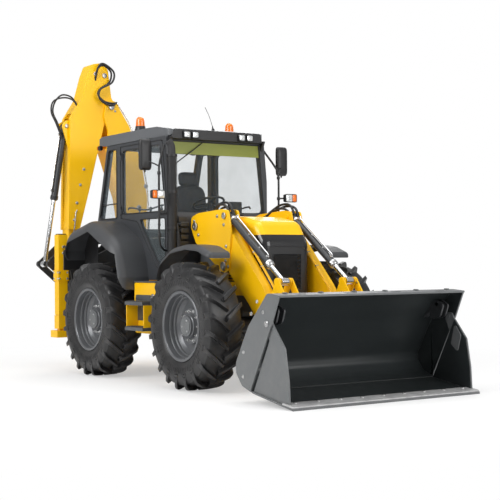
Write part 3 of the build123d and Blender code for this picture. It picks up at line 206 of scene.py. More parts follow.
# Name, colour, roughness, clouding and its scale, relief and its scale
M = {
    "yellow": make("yellow_paint", (0.97, 0.54, 0.002), 0.34, 0.03, 1.6, 0.05, 240, coat=0.15, spec=0.35,
        dust=(0.42, 0.33, 0.2, 0.1), edge=(0.93, 0.6, 0.06), edge_amount=0.5),
    "grey": make("grey_paint", (0.075, 0.08, 0.085), 0.42, 0.1, 2.5, 0.06, 200, dust=(0.2, 0.18, 0.16, 0.2),
        edge=0.25),
    "bucket": make("bucket_paint", (0.13, 0.137, 0.141), 0.4, 0.06, 1.6, 0.08, 160, dust=(0.3, 0.28, 0.25, 0.15),
        edge=0.42),
    # Painted shade: the near-black inside colour stands in for the shade in the hollows of the loader bucket and
    # its jaw
    "inside": make("bucket_inside_painted_shade", (0.022, 0.026, 0.027), 0.33, 0.15, 1.8, 0.1, 120, rough_vary=0.1,
        stretch=(1, 0.25, 1), edge=0.1),
    "dark": make("dark_paint", (0.03, 0.032, 0.035), 0.38, 0.12, 3.0, 0.05, 220, dust=(0.12, 0.11, 0.1, 0.15),
        edge=0.14),
    "cab": make("cab_paint", (0.042, 0.045, 0.05), 0.4, 0.08, 2.4, 0.05, 260, dust=(0.12, 0.11, 0.1, 0.12),
        edge=0.12),
    "rim": make("rim_paint", (0.125, 0.13, 0.138), 0.3, 0.08, 3.0, 0.05, 200, metal=0.25,
        dust=(0.2, 0.18, 0.16, 0.2), edge=0.4),
    "rubber": make("tyre_rubber", (0.012, 0.012, 0.013), 0.4, 0.22, 5.0, 0.3, 90, rough_vary=0.14,
        dust=(0.075, 0.07, 0.066, 0.4), edge=0.07, edge_amount=0.8, round_edge=0.006),
    "chrome": make("chrome", (0.78, 0.79, 0.8), 0.13, 0.03, 8, 0.02, 400, metal=1.0, rough_vary=0.05),
    "steel": make("bare_steel", grey(0.52), 0.32, 0.12, 6, 0.08, 220, metal=1.0, rough_vary=0.1),
    "edge_steel": make("cutting_edge", grey(0.6), 0.38, 0.2, 7, 0.14, 140, metal=0.5, rough_vary=0.12, edge=0.7),
    "black": make("black_plastic", (0.014, 0.014, 0.015), 0.42, 0.15, 4, 0.12, 420, edge=0.08),
    "gloss": make("gloss_black", (0.012, 0.012, 0.013), 0.2, 0.12, 3, 0.03, 300, coat=0.5, edge=0.06),
    "hose": make("hose_rubber", (0.016, 0.016, 0.017), 0.5, 0.2, 14, 0.25, 500, round_edge=0),
    "fender": make("fender_plastic", (0.052, 0.054, 0.058), 0.46, 0.07, 2.0, 0.16, 380,
        dust=(0.16, 0.15, 0.13, 0.16), edge=0.15),
    "roof": make("roof_plastic", (0.105, 0.11, 0.118), 0.42, 0.05, 2.0, 0.12, 380, edge=0.3),
    "visor": make("visor_film", (0.22, 0.25, 0.035), 0.35, 0.1, 5, 0.05, 300, stretch=(1, 0.3, 1)),
    "iron": make("engine_iron", (0.04, 0.04, 0.042), 0.6, 0.2, 6, 0.3, 90, metal=0.3),
    "seat": make("seat_cover", (0.028, 0.028, 0.031), 0.68, 0.18, 8, 0.45, 260, round_edge=0),
    "amber": make("amber_lens", (0.9, 0.19, 0.006), 0.16, 0.08, 14, 0.2, 150, coat=0.6, round_edge=0),
    "clear": make("clear_lens", (0.74, 0.77, 0.78), 0.1, 0.12, 30, 0.4, 160, metal=0.35, coat=0.6, round_edge=0),
    "red": make("red_lens", (0.5, 0.012, 0.008), 0.18, 0.1, 14, 0.2, 150, coat=0.6, round_edge=0),
    "mirror": make("mirror_glass", (0.7, 0.73, 0.75), 0.04, 0.03, 4, 0.01, 60, metal=1.0, rough_vary=0.02,
        round_edge=0),
}


def make_glass(name, tint, gloss_tint, low, high):
    """A pane: tinted see-through, with a faint film and a clear reflection."""
    mat = bpy.data.materials.new(name)
    t, _, mix = nodes_of(mat, "MixShader")
    film = ramp(t, noise(t, 0.9, 3), [(0.35, shade(tint, 0.9)), (0.7, tint)])
    clear = add(t, "BsdfTransparent", Color=film)
    gloss = add(t, "BsdfPrincipled", Roughness=0.04, Base_Color=(*gloss_tint, 1))
    facing = add(t, "LayerWeight", Blend=0.5).outputs["Facing"]
    plug(t, mix, Fac=spread(t, math_node(t, "POWER", facing, 4.0), low, high).outputs[0])
    t.links.new(clear.outputs[0], mix.inputs[1])
    t.links.new(gloss.outputs[0], mix.inputs[2])
    return mat


M["glass"] = make_glass("window_glass", (0.985, 0.993, 0.996), (0.55, 0.64, 0.68), 0.025, 0.7)

CORNERS = ("front_right", "front_left", "rear_right", "rear_left")
DRESS = {
    "yellow": ["boom", "dipper", "loader_arms", "hood", "side_boxes", "swing_post", "shift_carriage", "rear_frame",
        "dipper_extension", "tilt_levers", "bucket_links", "leg_right", "leg_left"],
    "grey": ["steps", "main_frame"],
    "bucket": ["loader_bucket", "bucket_clam"],
    "dark": ["front_axle", "rear_axle", "lift_barrels", "tilt_barrels", "boom_barrel", "dipper_barrel",
        "curl_barrel", "curl_lever", "curl_link", "digging_bucket"] + ["knuckle_" + c for c in CORNERS],
    "cab": ["cab_frame", "door_right", "door_left"],
    "rim": ["rim_" + c for c in CORNERS],
    "rubber": ["tyre_" + c for c in CORNERS],
    "chrome": ["lift_rods", "tilt_rods", "boom_rod", "dipper_rod", "curl_rod"],
    "black": ["grille", "mirror_rails", "exhaust_stack", "steering_console", "roof_lamps"],
    "fender": ["fenders"],
    "roof": ["cab_roof"],
    "iron": ["engine_block"],
    "seat": ["seat"],
    "glass": ["cab_glazing", "door_glass_right", "door_glass_left"],
}
for key, names in DRESS.items():
    for name in names:
        worn = NODES[name].data.materials
        worn.clear()
        worn.append(M[key])


# Mesh kit
def frame_of(d):
    """Two directions square to d."""
    d = Vector(d).normalized()
    u = d.cross(Z)
    if u.length < 0.05:
        u = d.cross(X)
    u.normalize()
    return u, d.cross(u)


def circle(at, u, w, r, n):
    turns = [tau * i / n for i in range(n)]
    return [at + u * (r * cos(t)) + w * (r * sin(t)) for t in turns]


class Kit:
    """Collects forms of one material into one mesh, in metres from the rear axle."""

    def __init__(self):
        self.bm = bmesh.new()

    def skin(self, rings, caps=True):
        """Joins rings of points, each as long as the next, into a skin."""
        rows = [[self.bm.verts.new(p) for p in ring] for ring in rings]
        n = len(rows[0])
        for a, b in zip(rows, rows[1:]):
            for i in range(n):
                j = (i + 1) % n
                self.bm.faces.new((a[i], a[j], b[j], b[i]))
        if caps:
            self.bm.faces.new(list(reversed(rows[0])))
            self.bm.faces.new(rows[-1])

    def turned(self, a, d, profile, n=24):
        """A round form along d from a; the profile lists distance along and radius."""
        a = Vector(a)
        d = Vector(d).normalized()
        u, w = frame_of(d)
        self.skin([circle(a + d * s, u, w, r, n) for s, r in profile])

    def rod(self, a, b, r, n=16, c=0.0015):
        """A chamfered round bar."""
        a, b = Vector(a), Vector(b)
        length = (b - a).length
        c = min(c, r * 0.4, length * 0.3)
        self.turned(a, b - a, [(0, r - c), (c, r), (length - c, r), (length, r - c)], n)

    def bolt(self, at, d, r=0.012, h=0.008):
        """A hexagon head on a washer."""
        self.turned(at, d, [(-0.002, r * 1.45), (h * 0.22, r * 1.45), (h * 0.28, r * 1.3)], 16)
        self.turned(at, d, [(h * 0.2, r), (h * 0.85, r), (h, r * 0.82)], 6)

    def pin(self, at, d, r=0.03, h=0.012):
        """A pin's end: a chamfered disc with a grease hole's rim."""
        self.turned(at, d, [(-0.002, r), (h * 0.7, r), (h, r * 0.86), (h, r * 0.3), (h * 0.6, r * 0.22)], 24)

    def plate(self, points, at, u, w, thick, c=0.002):
        """A flat plate: corners in u and w from at, chamfered all round, its middle on the plane."""
        at, u, w = Vector(at), Vector(u).normalized(), Vector(w).normalized()
        d = u.cross(w)
        n = len(points)
        ends = [(points[i], points[(i + 1) % n]) for i in range(n)]
        area2 = sum(p[0] * q[1] - q[0] * p[1] for p, q in ends)
        turn = 1 if area2 > 0 else -1
        inner = []
        for i in range(n):
            p, q, r = Vector(points[i - 1]), Vector(points[i]), Vector(points[(i + 1) % n])
            e1, e2 = (q - p).normalized(), (r - q).normalized()
            n1, n2 = Vector((-e1.y, e1.x)) * turn, Vector((-e2.y, e2.x)) * turn
            m = n1 + n2
            m = m / max(0.25, m.dot(n1)) if m.length > 1e-6 else n1
            inner.append(q + m * c)
        h = thick / 2
        c = min(c, h * 0.6)
        rings = []
        for pts, s in ((inner, -h), (points, -h + c), (points, h - c), (inner, h)):
            rings.append([at + u * p[0] + w * p[1] + d * s for p in pts])
        self.skin(rings)

    def box(self, lo, hi, c=0.003):
        """A block with chamfered edges between two corners."""
        lo, hi = Vector(lo), Vector(hi)
        m = (lo + hi) / 2
        x, y = (hi.x - lo.x) / 2, (hi.y - lo.y) / 2
        self.plate([(-x, -y), (x, -y), (x, y), (-x, y)], m, X, Y, hi.z - lo.z, min(c, x * 0.45, y * 0.45))

    def tube(self, points, r, n=10, steps=8, caps=True):
        """A bent pipe or hose through the points, on a smooth curve."""
        pts = [Vector(p) for p in points]
        if steps > 1 and len(pts) > 2:
            ext = [pts[0] * 2 - pts[1]] + pts + [pts[-1] * 2 - pts[-2]]
            out = []
            for i in range(1, len(ext) - 2):
                p0, p1, p2, p3 = ext[i - 1:i + 3]
                for k in range(steps):
                    s = k / steps
                    bend = (2 * p0 - 5 * p1 + 4 * p2 - p3) * s * s + (3 * p1 - p0 - 3 * p2 + p3) * s ** 3
                    out.append(0.5 * ((2 * p1) + (p2 - p0) * s + bend))
            out.append(pts[-1])
            pts = out
        u = None
        rings = []
        for i, p in enumerate(pts):
            d = (pts[min(i + 1, len(pts) - 1)] - pts[max(i - 1, 0)]).normalized()
            if u is None:
                u, _ = frame_of(d)
            u = (u - d * u.dot(d)).normalized()
            w = d.cross(u)
            rings.append(circle(p, u, w, r, n))
        self.skin(rings, caps)

    def mirror(self):
        """Adds the same forms on the machine's other side."""
        geo = bmesh.ops.duplicate(self.bm, geom=self.bm.verts[:] + self.bm.edges[:] + self.bm.faces[:])
        verts = [g for g in geo["geom"] if isinstance(g, bmesh.types.BMVert)]
        faces = [g for g in geo["geom"] if isinstance(g, bmesh.types.BMFace)]
        for v in verts:
            v.co.y = -v.co.y
        bmesh.ops.reverse_faces(self.bm, faces=faces)

    def put(self, name, key, angle=40, body="machine", replaces=None, matrix=None, slot=None):
        """Makes the object, gives it its material and lets it ride on the body."""
        me = bpy.data.meshes.new(name)
        bmesh.ops.recalc_face_normals(self.bm, faces=self.bm.faces)
        self.bm.to_mesh(me)
        if matrix is not None:
            me.transform(matrix)
            if matrix.determinant() < 0:
                me.flip_normals()
        me.transform(Matrix.Translation((SH, 0, 0)))
        me.shade_smooth()
        me.set_sharp_from_angle(angle=radians(angle))
        me.materials.append(M[key])
        ob = add_object(name, me)
        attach(ob, body)
        if replaces:
            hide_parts(replaces)
        return ob


# Shapes shared by several pieces
def rounded(points, r, k=5):
    """The outline with its corners rounded; r is one radius or one for each corner."""
    out = []
    n = len(points)
    for i in range(n):
        p, q, s = Vector(points[i - 1]), Vector(points[i]), Vector(points[(i + 1) % n])
        radius = r[i] if isinstance(r, list) else r
        a, b = p - q, s - q
        t = min(radius, a.length * 0.45, b.length * 0.45)
        if t <= 0:
            out.append((q.x, q.y))
            continue
        a, b = q + a.normalized() * t, q + b.normalized() * t
        for j in range(k + 1):
            f = j / k
            c = a * (1 - f) ** 2 + q * 2 * f * (1 - f) + b * f * f
            out.append((c.x, c.y))
    return out


def slab(a, b, r):
    """A rounded rectangle with the half sizes a and b."""
    return rounded([(-a, -b), (a, -b), (a, b), (-a, b)], r)


def oval(kit, at, u, w, rows, e=0.35, n=28):
    """A rounded block: each row lists distance along u x w and the two half sizes."""
    at, u, w = Vector(at), Vector(u).normalized(), Vector(w).normalized()
    d = u.cross(w)
    rings = []
    for s, a, b in rows:
        ring = []
        for i in range(n):
            t = tau * i / n
            c, q = cos(t), sin(t)
            ring.append(at + d * s + u * (a * copysign(abs(c) ** e, c)) + w * (b * copysign(abs(q) ** e, q)))
        rings.append(ring)
    kit.skin(rings)


def seal(kit, points, y, r=0.007, radius=0.05):
    """A rubber seal round a pane that stands along the machine."""
    path = rounded(points, radius, 4)
    path.append(path[0])
    kit.tube([(x, y, z) for x, z in path], r, n=8, steps=1)


def arm_at(u, z, off=0.0):
    """A place on the backhoe arm: reach, height and distance to the front."""
    return (-1.35 + off, 0.53 - u, z)


def arm_pins(kit, rows):
    """Pin ends on both faces of the backhoe arm: reach, height, distance from its middle, radius, height."""
    for u, z, off, r, h in rows:
        for s in SIDES:
            kit.pin(arm_at(u, z, s * off), X * s, r, h)


# Tyres: distance from the middle, radius
TYRE = [(0.165, 0.3563), (0.177, 0.389), (0.188, 0.4), (0.196, 0.425), (0.203, 0.46), (0.2105, 0.5),
    (0.2145, 0.535), (0.213, 0.57), (0.204, 0.603), (0.192, 0.627), (0.165, 0.639), (0.12, 0.645), (0.06, 0.647)]
# Lugs: distance from the middle, top radius, foot radius, way along
LUG = [(-0.012, 0.69, 0.64, -0.008), (-0.004, 0.6945, 0.64, 0), (0.03, 0.6945, 0.64, 0.024),
    (0.07, 0.6945, 0.64, 0.056), (0.11, 0.694, 0.638, 0.088), (0.15, 0.6925, 0.632, 0.118),
    (0.18, 0.688, 0.62, 0.14), (0.198, 0.677, 0.602, 0.151), (0.208, 0.659, 0.58, 0.157),
    (0.2135, 0.636, 0.562, 0.16), (0.2165, 0.61, 0.548, 0.162), (0.217, 0.585, 0.535, 0.163),
    (0.216, 0.562, 0.524, 0.164), (0.212, 0.545, 0.515, 0.164)]
# Sidewall ribs: distance from the middle, radius, half width
RIB = [(0.197, 0.43, 0.0012), (0.2065, 0.455, 0.0022), (0.2115, 0.48, 0.0022), (0.2155, 0.505, 0.0012)]
# Rim: distance outwards from the middle, radius
RIM = [(0.118, 0.106), (0.116, 0.112), (0.094, 0.116), (0.09, 0.124), (0.086, 0.127), (0.063, 0.13), (0.057, 0.134),
    (0.049, 0.137), (0.047, 0.19), (0.043, 0.194), (0.01, 0.199), (0.005, 0.203), (0.005, 0.282), (0.009, 0.288),
    (0.036, 0.309), (0.042, 0.3145), (0.058, 0.317), (0.063, 0.32), (0.066, 0.331), (0.07, 0.334), (0.108, 0.3355),
    (0.113, 0.338), (0.116, 0.346), (0.16, 0.348), (0.178, 0.351), (0.186, 0.358), (0.1885, 0.368), (0.187, 0.378),
    (0.182, 0.384), (0.176, 0.3835), (0.174, 0.372), (0.172, 0.3565), (-0.172, 0.3565), (-0.174, 0.372),
    (-0.176, 0.3835), (-0.182, 0.384), (-0.187, 0.378), (-0.186, 0.358), (-0.178, 0.351), (-0.06, 0.346),
    (-0.03, 0.327), (-0.013, 0.298), (-0.011, 0.29), (-0.011, 0.06)]


TREAD_R = 0.69
LUG_COUNT, RIB_COUNT, NUT_COUNT = 20, 80, 10


def ring_at(r, y, n=96):
    return [(r * sin(tau * i / n), y, r * cos(tau * i / n)) for i in range(n)]


def tyre_kit():
    k = Kit()
    rows = [(-y, r) for y, r in TYRE] + [(y, r) for y, r in reversed(TYRE)]
    k.skin([ring_at(r, y) for y, r in rows], False)
    for side in SIDES:
        for i in range(LUG_COUNT):
            turn = tau * (i + (side + 1) / 4) / LUG_COUNT
            rings = []
            for y, top, foot, way in LUG:
                mid = turn - way / TREAD_R
                ring = []
                for r, half in ((top, 0.0215), (foot, 0.034)):
                    for s in ((1, -1) if half < 0.03 else (-1, 1)):
                        a = mid + s * half / r
                        ring.append((r * sin(a), side * y, r * cos(a)))
                rings.append(ring)
            k.skin(rings)
    for side in SIDES:
        for i in range(RIB_COUNT):
            turn = tau * i / RIB_COUNT
            rings = []
            for y, r, half in RIB:
                ring = []
                for o, lift in ((-1, -0.003), (0, 0.0), (1, -0.003)):
                    a = turn + o * half / r
                    ring.append((r * sin(a), side * (y + lift), r * cos(a)))
                rings.append(ring)
            k.skin(rings)
    return k


HUB_Y, HUB_Z = 0.925, 0.695
for i_wheel, name in enumerate(CORNERS):
    x, side = (WB, 0.0)[i_wheel // 2], SIDES[i_wheel % 2]
    place = Matrix.Translation((x, 0, 0)) @ Matrix.Diagonal((1, -side, 1, 1))
    place = place @ Matrix.Translation((0, -HUB_Y, HUB_Z))
    body = "wheel_" + name
    tyre_kit().put("tyre_tread_" + name, "rubber", 32, body, "tyre_" + name, place)
    k = Kit()
    k.turned((0, 0, 0), -Y, RIM, 96)
    k.put("rim_dish_" + name, "rim", 28, body, "rim_" + name, place)
    k = Kit()
    for i in range(NUT_COUNT):
        a = tau * (i + 0.5) / NUT_COUNT
        at = Vector((0.164 * sin(a), -0.047, 0.164 * cos(a)))
        k.turned(at, -Y, [(-0.003, 0.021), (0.003, 0.021), (0.004, 0.017)], 20)
        k.turned(at, -Y, [(0.003, 0.0155), (0.018, 0.0155), (0.021, 0.0125)], 6)
        k.turned(at, -Y, [(0.019, 0.0085), (0.034, 0.0085), (0.036, 0.007)], 12)
    for i in range(3):
        a = tau * (i + 0.2) / 3
        k.bolt((0.066 * sin(a), -0.1235, 0.066 * cos(a)), -Y, 0.007, 0.005)
    k.rod((0.0, -0.12, 0.325), (0.0, -0.158, 0.318), 0.005, 10)
    k.put("wheel_nuts_" + name, "steel", 35, body, matrix=place)
    k = Kit()
    k.turned((0, -0.118, 0), -Y, [(-0.002, 0.09), (0.004, 0.09), (0.0065, 0.086), (0.0065, 0.035), (0.004, 0.032),
        (0.004, 0.004)], 48)
    k.put("hub_disc_" + name, "bucket", 30, body, matrix=place, slot="rim_paint")


def screen_x(z):
    """Where the sloping windscreen stands at a height."""
    return 1.3 - (z - 1.93) * 0.1223


# Cab: seals, lamps, mirrors, wiper and the rest
PANE_Y = 0.7015
UPPER = [(0.165, 2.775), (0.165, 1.99), (1.205, 1.99), (1.085, 2.775)]
LOWER = [(0.6, 1.91), (0.63, 1.84), (1.025, 1.39), (1.205, 1.345), (1.205, 1.91)]
QUARTER = [(0.005, 2.81), (-0.205, 2.81), (-0.458, 1.945), (0.005, 1.945)]
for side, s in (("right", -1), ("left", 1)):
    k = Kit()
    seal(k, UPPER, s * PANE_Y)
    seal(k, LOWER, s * PANE_Y, radius=0.045)
    door = [(0.105, 2.825), (0.105, 1.94), (0.52, 1.89), (0.995, 1.33), (1.26, 1.24), (1.26, 1.93), (1.14, 2.825)]
    seal(k, door, s * 0.702, 0.0045, 0.045)
    k.put("door_seals_" + side, "black", 60, "door_" + side)
    k = Kit()
    x, z = 1.17, 1.965
    k.plate(slab(0.07, 0.022, 0.015), (x, s * 0.704, z), X, Z, 0.012)
    k.tube([(x + dx, s * y, z) for dx, y in ((-0.055, 0.706), (-0.04, 0.735), (0.04, 0.735), (0.055, 0.706))],
        0.008, steps=4)
    k.tube([(0.19, s * 0.64, 2.05), (0.21, s * 0.61, 2.07), (0.6, s * 0.61, 2.03), (0.98, s * 0.61, 2.07),
        (1.0, s * 0.64, 2.05)], 0.011, steps=5)
    k.put("door_handles_" + side, "black", 50, "door_" + side)
k = Kit()
for s in SIDES:
    seal(k, QUARTER, s * PANE_Y, radius=0.04)
    k.tube([(-0.4, s * 0.672, 2.12), (-0.39, s * 0.69, 2.12), (0.0, s * 0.69, 2.13)], 0.008, steps=3)
foot, top = (screen_x(1.972) + 0.004, 1.972), (screen_x(2.816) + 0.004, 2.816)
for x, z in (foot, top):
    k.tube([(x, -0.63, z), (x, 0.63, z)], 0.008, n=8, steps=1)
for s in SIDES:
    k.tube([(x, s * 0.63, z) for x, z in (foot, top)], 0.008, n=8, steps=1)
k.put("pane_seals", "black", 60)

k = Kit()
z0, z1 = 2.665, 2.812
xa, xb = screen_x(z0) + 0.006, screen_x(z1) + 0.006
rows = []
for i in range(13):
    y = -0.622 + 1.244 * i / 12
    rows.append([(xa, y, z0), (xb, y, z1), (xb - 0.004, y, z1), (xa - 0.004, y, z0)])
k.skin(rows)
k.put("sun_strip", "visor", 30)

k = Kit()
k.plate(rounded([(-0.645, -0.052), (0.645, -0.052), (0.61, 0.062), (-0.61, 0.062)], 0.02), (1.262, 0, 2.892), Y, Z,
    0.014)
k.box((1.2, -0.6, 2.83), (1.255, 0.6, 2.862), 0.012)
for s in SIDES:
    k.plate(rounded([(0, 0), (0.1, 0.02), (0.02, -0.13), (-0.05, -0.11)], 0.03), (1.2, s * 0.655, 2.85), X, Z, 0.03)
k.put("roof_visor", "black")

k, lens, bulb = Kit(), Kit(), Kit()
for s in SIDES:
    for out in (0.33, 0.445):
        for x, d, z in ((1.269, 1, 2.892), (-0.5, -1, 2.918)):
            at = Vector((x, s * out, z))
            oval(k, at, Y * d, Z, [(-0.004, 0.046, 0.04), (0.006, 0.05, 0.044), (0.026, 0.05, 0.044),
                (0.03, 0.047, 0.041), (0.03, 0.041, 0.035), (0.02, 0.039, 0.033)], 0.25)
            oval(lens, at + X * (d * 0.02), Y * d, Z, [(0.0, 0.0385, 0.0325), (0.004, 0.038, 0.032),
                (0.007, 0.03, 0.025), (0.008, 0.012, 0.01)], 0.3)
            k.rod(at + Z * 0.04, at + Vector((-d * 0.02, 0, 0.062)), 0.006)
for s in SIDES:
    at = Vector((0.525, s * 0.648, 2.996))
    k.turned(at, Z, [(-0.004, 0.068), (0.014, 0.068), (0.024, 0.063), (0.046, 0.062), (0.052, 0.057)], 36)
    prof = [(0.05, 0.054)]
    for i in range(10):
        prof += [(0.056 + i * 0.0075, 0.0575 - i * 0.0006), (0.0598 + i * 0.0075, 0.0555 - i * 0.0006)]
    prof += [(0.134, 0.05), (0.148, 0.044), (0.16, 0.034), (0.168, 0.021), (0.172, 0.006)]
    bulb.turned(at, Z, prof, 44)
    at = Vector((-0.44, s * 0.7, 2.86))
    k.box(at + Vector((-0.03, -0.02, -0.03)), at + Vector((0.03, 0.02, 0.03)), 0.008)
    oval(bulb, at - X * 0.03, -Y, Z, [(0, 0.03, 0.026), (0.012, 0.029, 0.025), (0.02, 0.02, 0.017)], 0.5)
k.turned((1.0, 0.1, 2.994), (-0.15, -0.1, 1), [(0, 0.02), (0.012, 0.019), (0.03, 0.009), (0.05, 0.006),
    (0.06, 0.004)], 20)
k.tube([(0.992, 0.095, 3.04), (0.965, 0.07, 3.16), (0.93, 0.03, 3.28)], 0.0032, n=8, steps=5)
k.put("lamp_housings", "black", replaces="roof_lamps")
lens.put("lamp_lenses", "clear")
bulb.put("beacon_lenses", "amber", 60)

# Wiper
k = Kit()
a, b = Vector((1.203, -0.156, 2.835)), Vector((1.243, -0.585, 2.545))
k.turned(a - X * 0.012, (1, 0, 0.12), [(0, 0.02), (0.02, 0.02), (0.026, 0.014)], 20)
k.tube([a + X * 0.014, a.lerp(b, 0.5) + X * 0.022, a.lerp(b, 0.8) + X * 0.012], 0.006, steps=5)
k.tube([a.lerp(b, 0.42) + X * 0.008, a.lerp(b, 1.18) + X * 0.008], 0.007, n=6, steps=1)
k.tube([a.lerp(b, 0.4) + X * 0.002, a.lerp(b, 1.2) + X * 0.002], 0.004, n=6, steps=1)
k.put("wiper", "black", 50)

# Mirrors and driving lamps
k, glass, orange, white = Kit(), Kit(), Kit(), Kit()
for s in SIDES:
    def Q(x, y, z):
        return (x, s * y, z)
    k.tube([Q(1.262, 0.713, 1.52), Q(1.295, 0.79, 1.545), Q(1.316, 0.847, 1.64), Q(1.316, 0.847, 2.0),
        Q(1.316, 0.847, 2.44), Q(1.29, 0.82, 2.55), Q(1.195, 0.71, 2.76)], 0.013, 12, 6)
    k.tube([Q(1.316, 0.847, 2.5), Q(1.27, 0.9, 2.535), Q(1.215, 0.97, 2.56)], 0.009, 10, 5)
    k.tube([Q(1.316, 0.847, 2.165), Q(1.36, 0.87, 2.165), Q(1.41, 0.91, 2.165)], 0.01, 10, 4)
    for z in (1.7, 2.165, 2.42):
        k.turned(Q(1.316, 0.847, z - 0.018), Z, [(0, 0.018), (0.003, 0.02), (0.033, 0.02), (0.036, 0.018)], 20)
    oval(k, Q(1.195, 0.97, 2.635), Y, Z, [(0, 0.074, 0.172), (0.004, 0.08, 0.18), (0.022, 0.08, 0.18),
        (0.038, 0.074, 0.172), (0.048, 0.056, 0.15), (0.05, 0.02, 0.06)], 0.28, 36)
    oval(glass, Q(1.1945, 0.97, 2.635), -Y, Z, [(-0.002, 0.071, 0.168), (0.0015, 0.07, 0.167)], 0.28, 36)
    k.tube([Q(1.2, 0.97, 2.455), Q(1.21, 0.97, 2.44), Q(1.215, 0.97, 2.56)], 0.008, 8, 3)
    oval(k, Q(1.4, 0.935, 2.165), Y, Z, [(0, 0.07, 0.035), (0.012, 0.085, 0.048), (0.05, 0.087, 0.052),
        (0.064, 0.086, 0.051), (0.066, 0.081, 0.046), (0.056, 0.08, 0.045)], 0.25, 32)
    oval(orange, Q(1.456, 0.985, 2.165), Y, Z, [(0, 0.029, 0.043), (0.008, 0.0285, 0.0425), (0.013, 0.022, 0.035)],
        0.3, 24)
    oval(white, Q(1.456, 0.905, 2.165), Y, Z, [(0, 0.048, 0.043), (0.007, 0.0475, 0.0425), (0.013, 0.038, 0.034),
        (0.015, 0.015, 0.014)], 0.3, 24)
    # Painted glints: tiny bright specks of lens material at the hood's nose
    for y in (0.86, 1.0):
        white.rod(Q(2.598, y - 0.6, 1.515), Q(2.6, y - 0.6, 1.516), 0.004)
k.put("mirror_arms", "black", 45, replaces="mirror_rails")
glass.put("mirror_glasses", "mirror")
orange.put("turn_lamp_lenses", "amber", 45)
white.put("driving_lamp_lenses_and_nose_glints", "clear", 45)

# Inside the cab
k = Kit()
f = 1.2203            # cab floor
oval(k, (0.8, 0, f), X, Y, [(0, 0.17, 0.17), (0.02, 0.17, 0.17), (0.05, 0.13, 0.13), (0.3, 0.13, 0.13),
    (0.33, 0.18, 0.2), (0.36, 0.18, 0.2)], 0.3, 24)
for i in range(5):
    back = -0.15 - 0.008 * (i % 2)
    k.plate(rounded([(back, -0.16), (0.15, -0.16), (0.15, 0.16), (back, 0.16)], 0.04),
        (0.79, 0, f + 0.08 + i * 0.045), X, Y, 0.03)
for s in SIDES:
    oval(k, (0.74, s * 0.3, f + 0.62), X, Y, [(-0.02, 0.17, 0.035), (0, 0.18, 0.045), (0.03, 0.18, 0.045),
        (0.045, 0.165, 0.035)], 0.4, 24)
    oval(k, (0.7, s * 0.43, f), X, Y, [(0, 0.28, 0.1), (0.42, 0.28, 0.1), (0.46, 0.27, 0.09), (0.47, 0.24, 0.07)],
        0.25, 24)
    k.tube([(0.86, s * 0.43, f + 0.46), (0.87, s * 0.43, f + 0.58), (0.89, s * 0.42, f + 0.68)], 0.007, 8, 4)
    k.turned((0.89, s * 0.42, f + 0.67), (0.1, 0, 1), [(0, 0.01), (0.015, 0.019), (0.035, 0.024), (0.055, 0.02),
        (0.066, 0.006)], 20)
    k.tube([(0.6, s * 0.43, f + 0.46), (0.59, s * 0.43, f + 0.62)], 0.006, 8, 1)
    k.turned((0.59, s * 0.43, f + 0.61), Z, [(0, 0.01), (0.012, 0.018), (0.03, 0.02), (0.045, 0.006)], 20)
for y in (-0.13, 0.0, 0.13):
    k.plate(slab(0.035, 0.05, 0.012), (1.15, y, f + 0.12), Y, (0.5, 0, 1), 0.012)
    k.tube([(1.155, y, f + 0.1), (1.2, y, f + 0.03), (1.22, y, f + 0.01)], 0.008, 8, 3)
for y in (-0.24, -0.08, 0.08):
    k.tube([(-0.3, y, 1.68), (-0.28, y, 1.95), (-0.24, y, 2.06)], 0.008, 8, 4)
    k.turned((-0.245, y, 2.05), (0.2, 0, 1), [(0, 0.01), (0.015, 0.019), (0.035, 0.023), (0.055, 0.019),
        (0.066, 0.006)], 20)
k.box((-0.44, -0.34, 1.672), (-0.22, 0.2, 1.8), 0.02)
k.box((1.13, 0.22, 1.98), (1.17, 0.4, 2.12), 0.01)
k.tube([(1.15, 0.31, 1.87), (1.15, 0.31, 2.0)], 0.012, 8, 1)
k.plate(slab(0.12, 0.2, 0.03), (1.16, 0, 1.88), (0.55, 0, 1), Y, 0.05)
k.put("cab_fittings", "black")

k = Kit()
oval(k, (0.8, 0, f + 0.365), X, Y, [(0, 0.17, 0.205), (0.01, 0.195, 0.23), (0.05, 0.205, 0.242), (0.09, 0.2, 0.238),
    (0.112, 0.175, 0.215), (0.125, 0.13, 0.16), (0.131, 0.07, 0.08), (0.133, 0.02, 0.02)], 0.42, 48)
cushion = k.put("seat_cushion", "seat", 60, replaces="seat")
k = Kit()
up = Vector((-0.11, 0, 1)).normalized()
rows = [(-0.055, 0.1, 0.16), (-0.05, 0.2, 0.3), (-0.02, 0.225, 0.325), (0.02, 0.222, 0.32), (0.045, 0.19, 0.285),
    (0.055, 0.14, 0.22), (0.06, 0.06, 0.1)]
oval(k, (0.625, 0, f + 0.8), Y, up, rows, 0.45, 48)
back = k.put("seat_back", "seat", 60)
k = Kit()
rows = [(-0.04, 0.06, 0.04), (-0.035, 0.12, 0.075), (-0.01, 0.135, 0.09), (0.02, 0.132, 0.088), (0.035, 0.11, 0.07),
    (0.04, 0.05, 0.03)]
oval(k, (0.565, 0, f + 1.2), Y, up, rows, 0.5, 40)
head = k.put("seat_headrest", "seat", 60)

# Exhaust
k = Kit()
x, y = 1.385, -0.715
cols, z_lo, z_hi, step = 22, 1.36, 2.62, 0.0176
r = 0.0615
count = int((z_hi - z_lo) / step)


def around(a, z, rr):
    return (x + rr * cos(a), y + rr * sin(a), z)


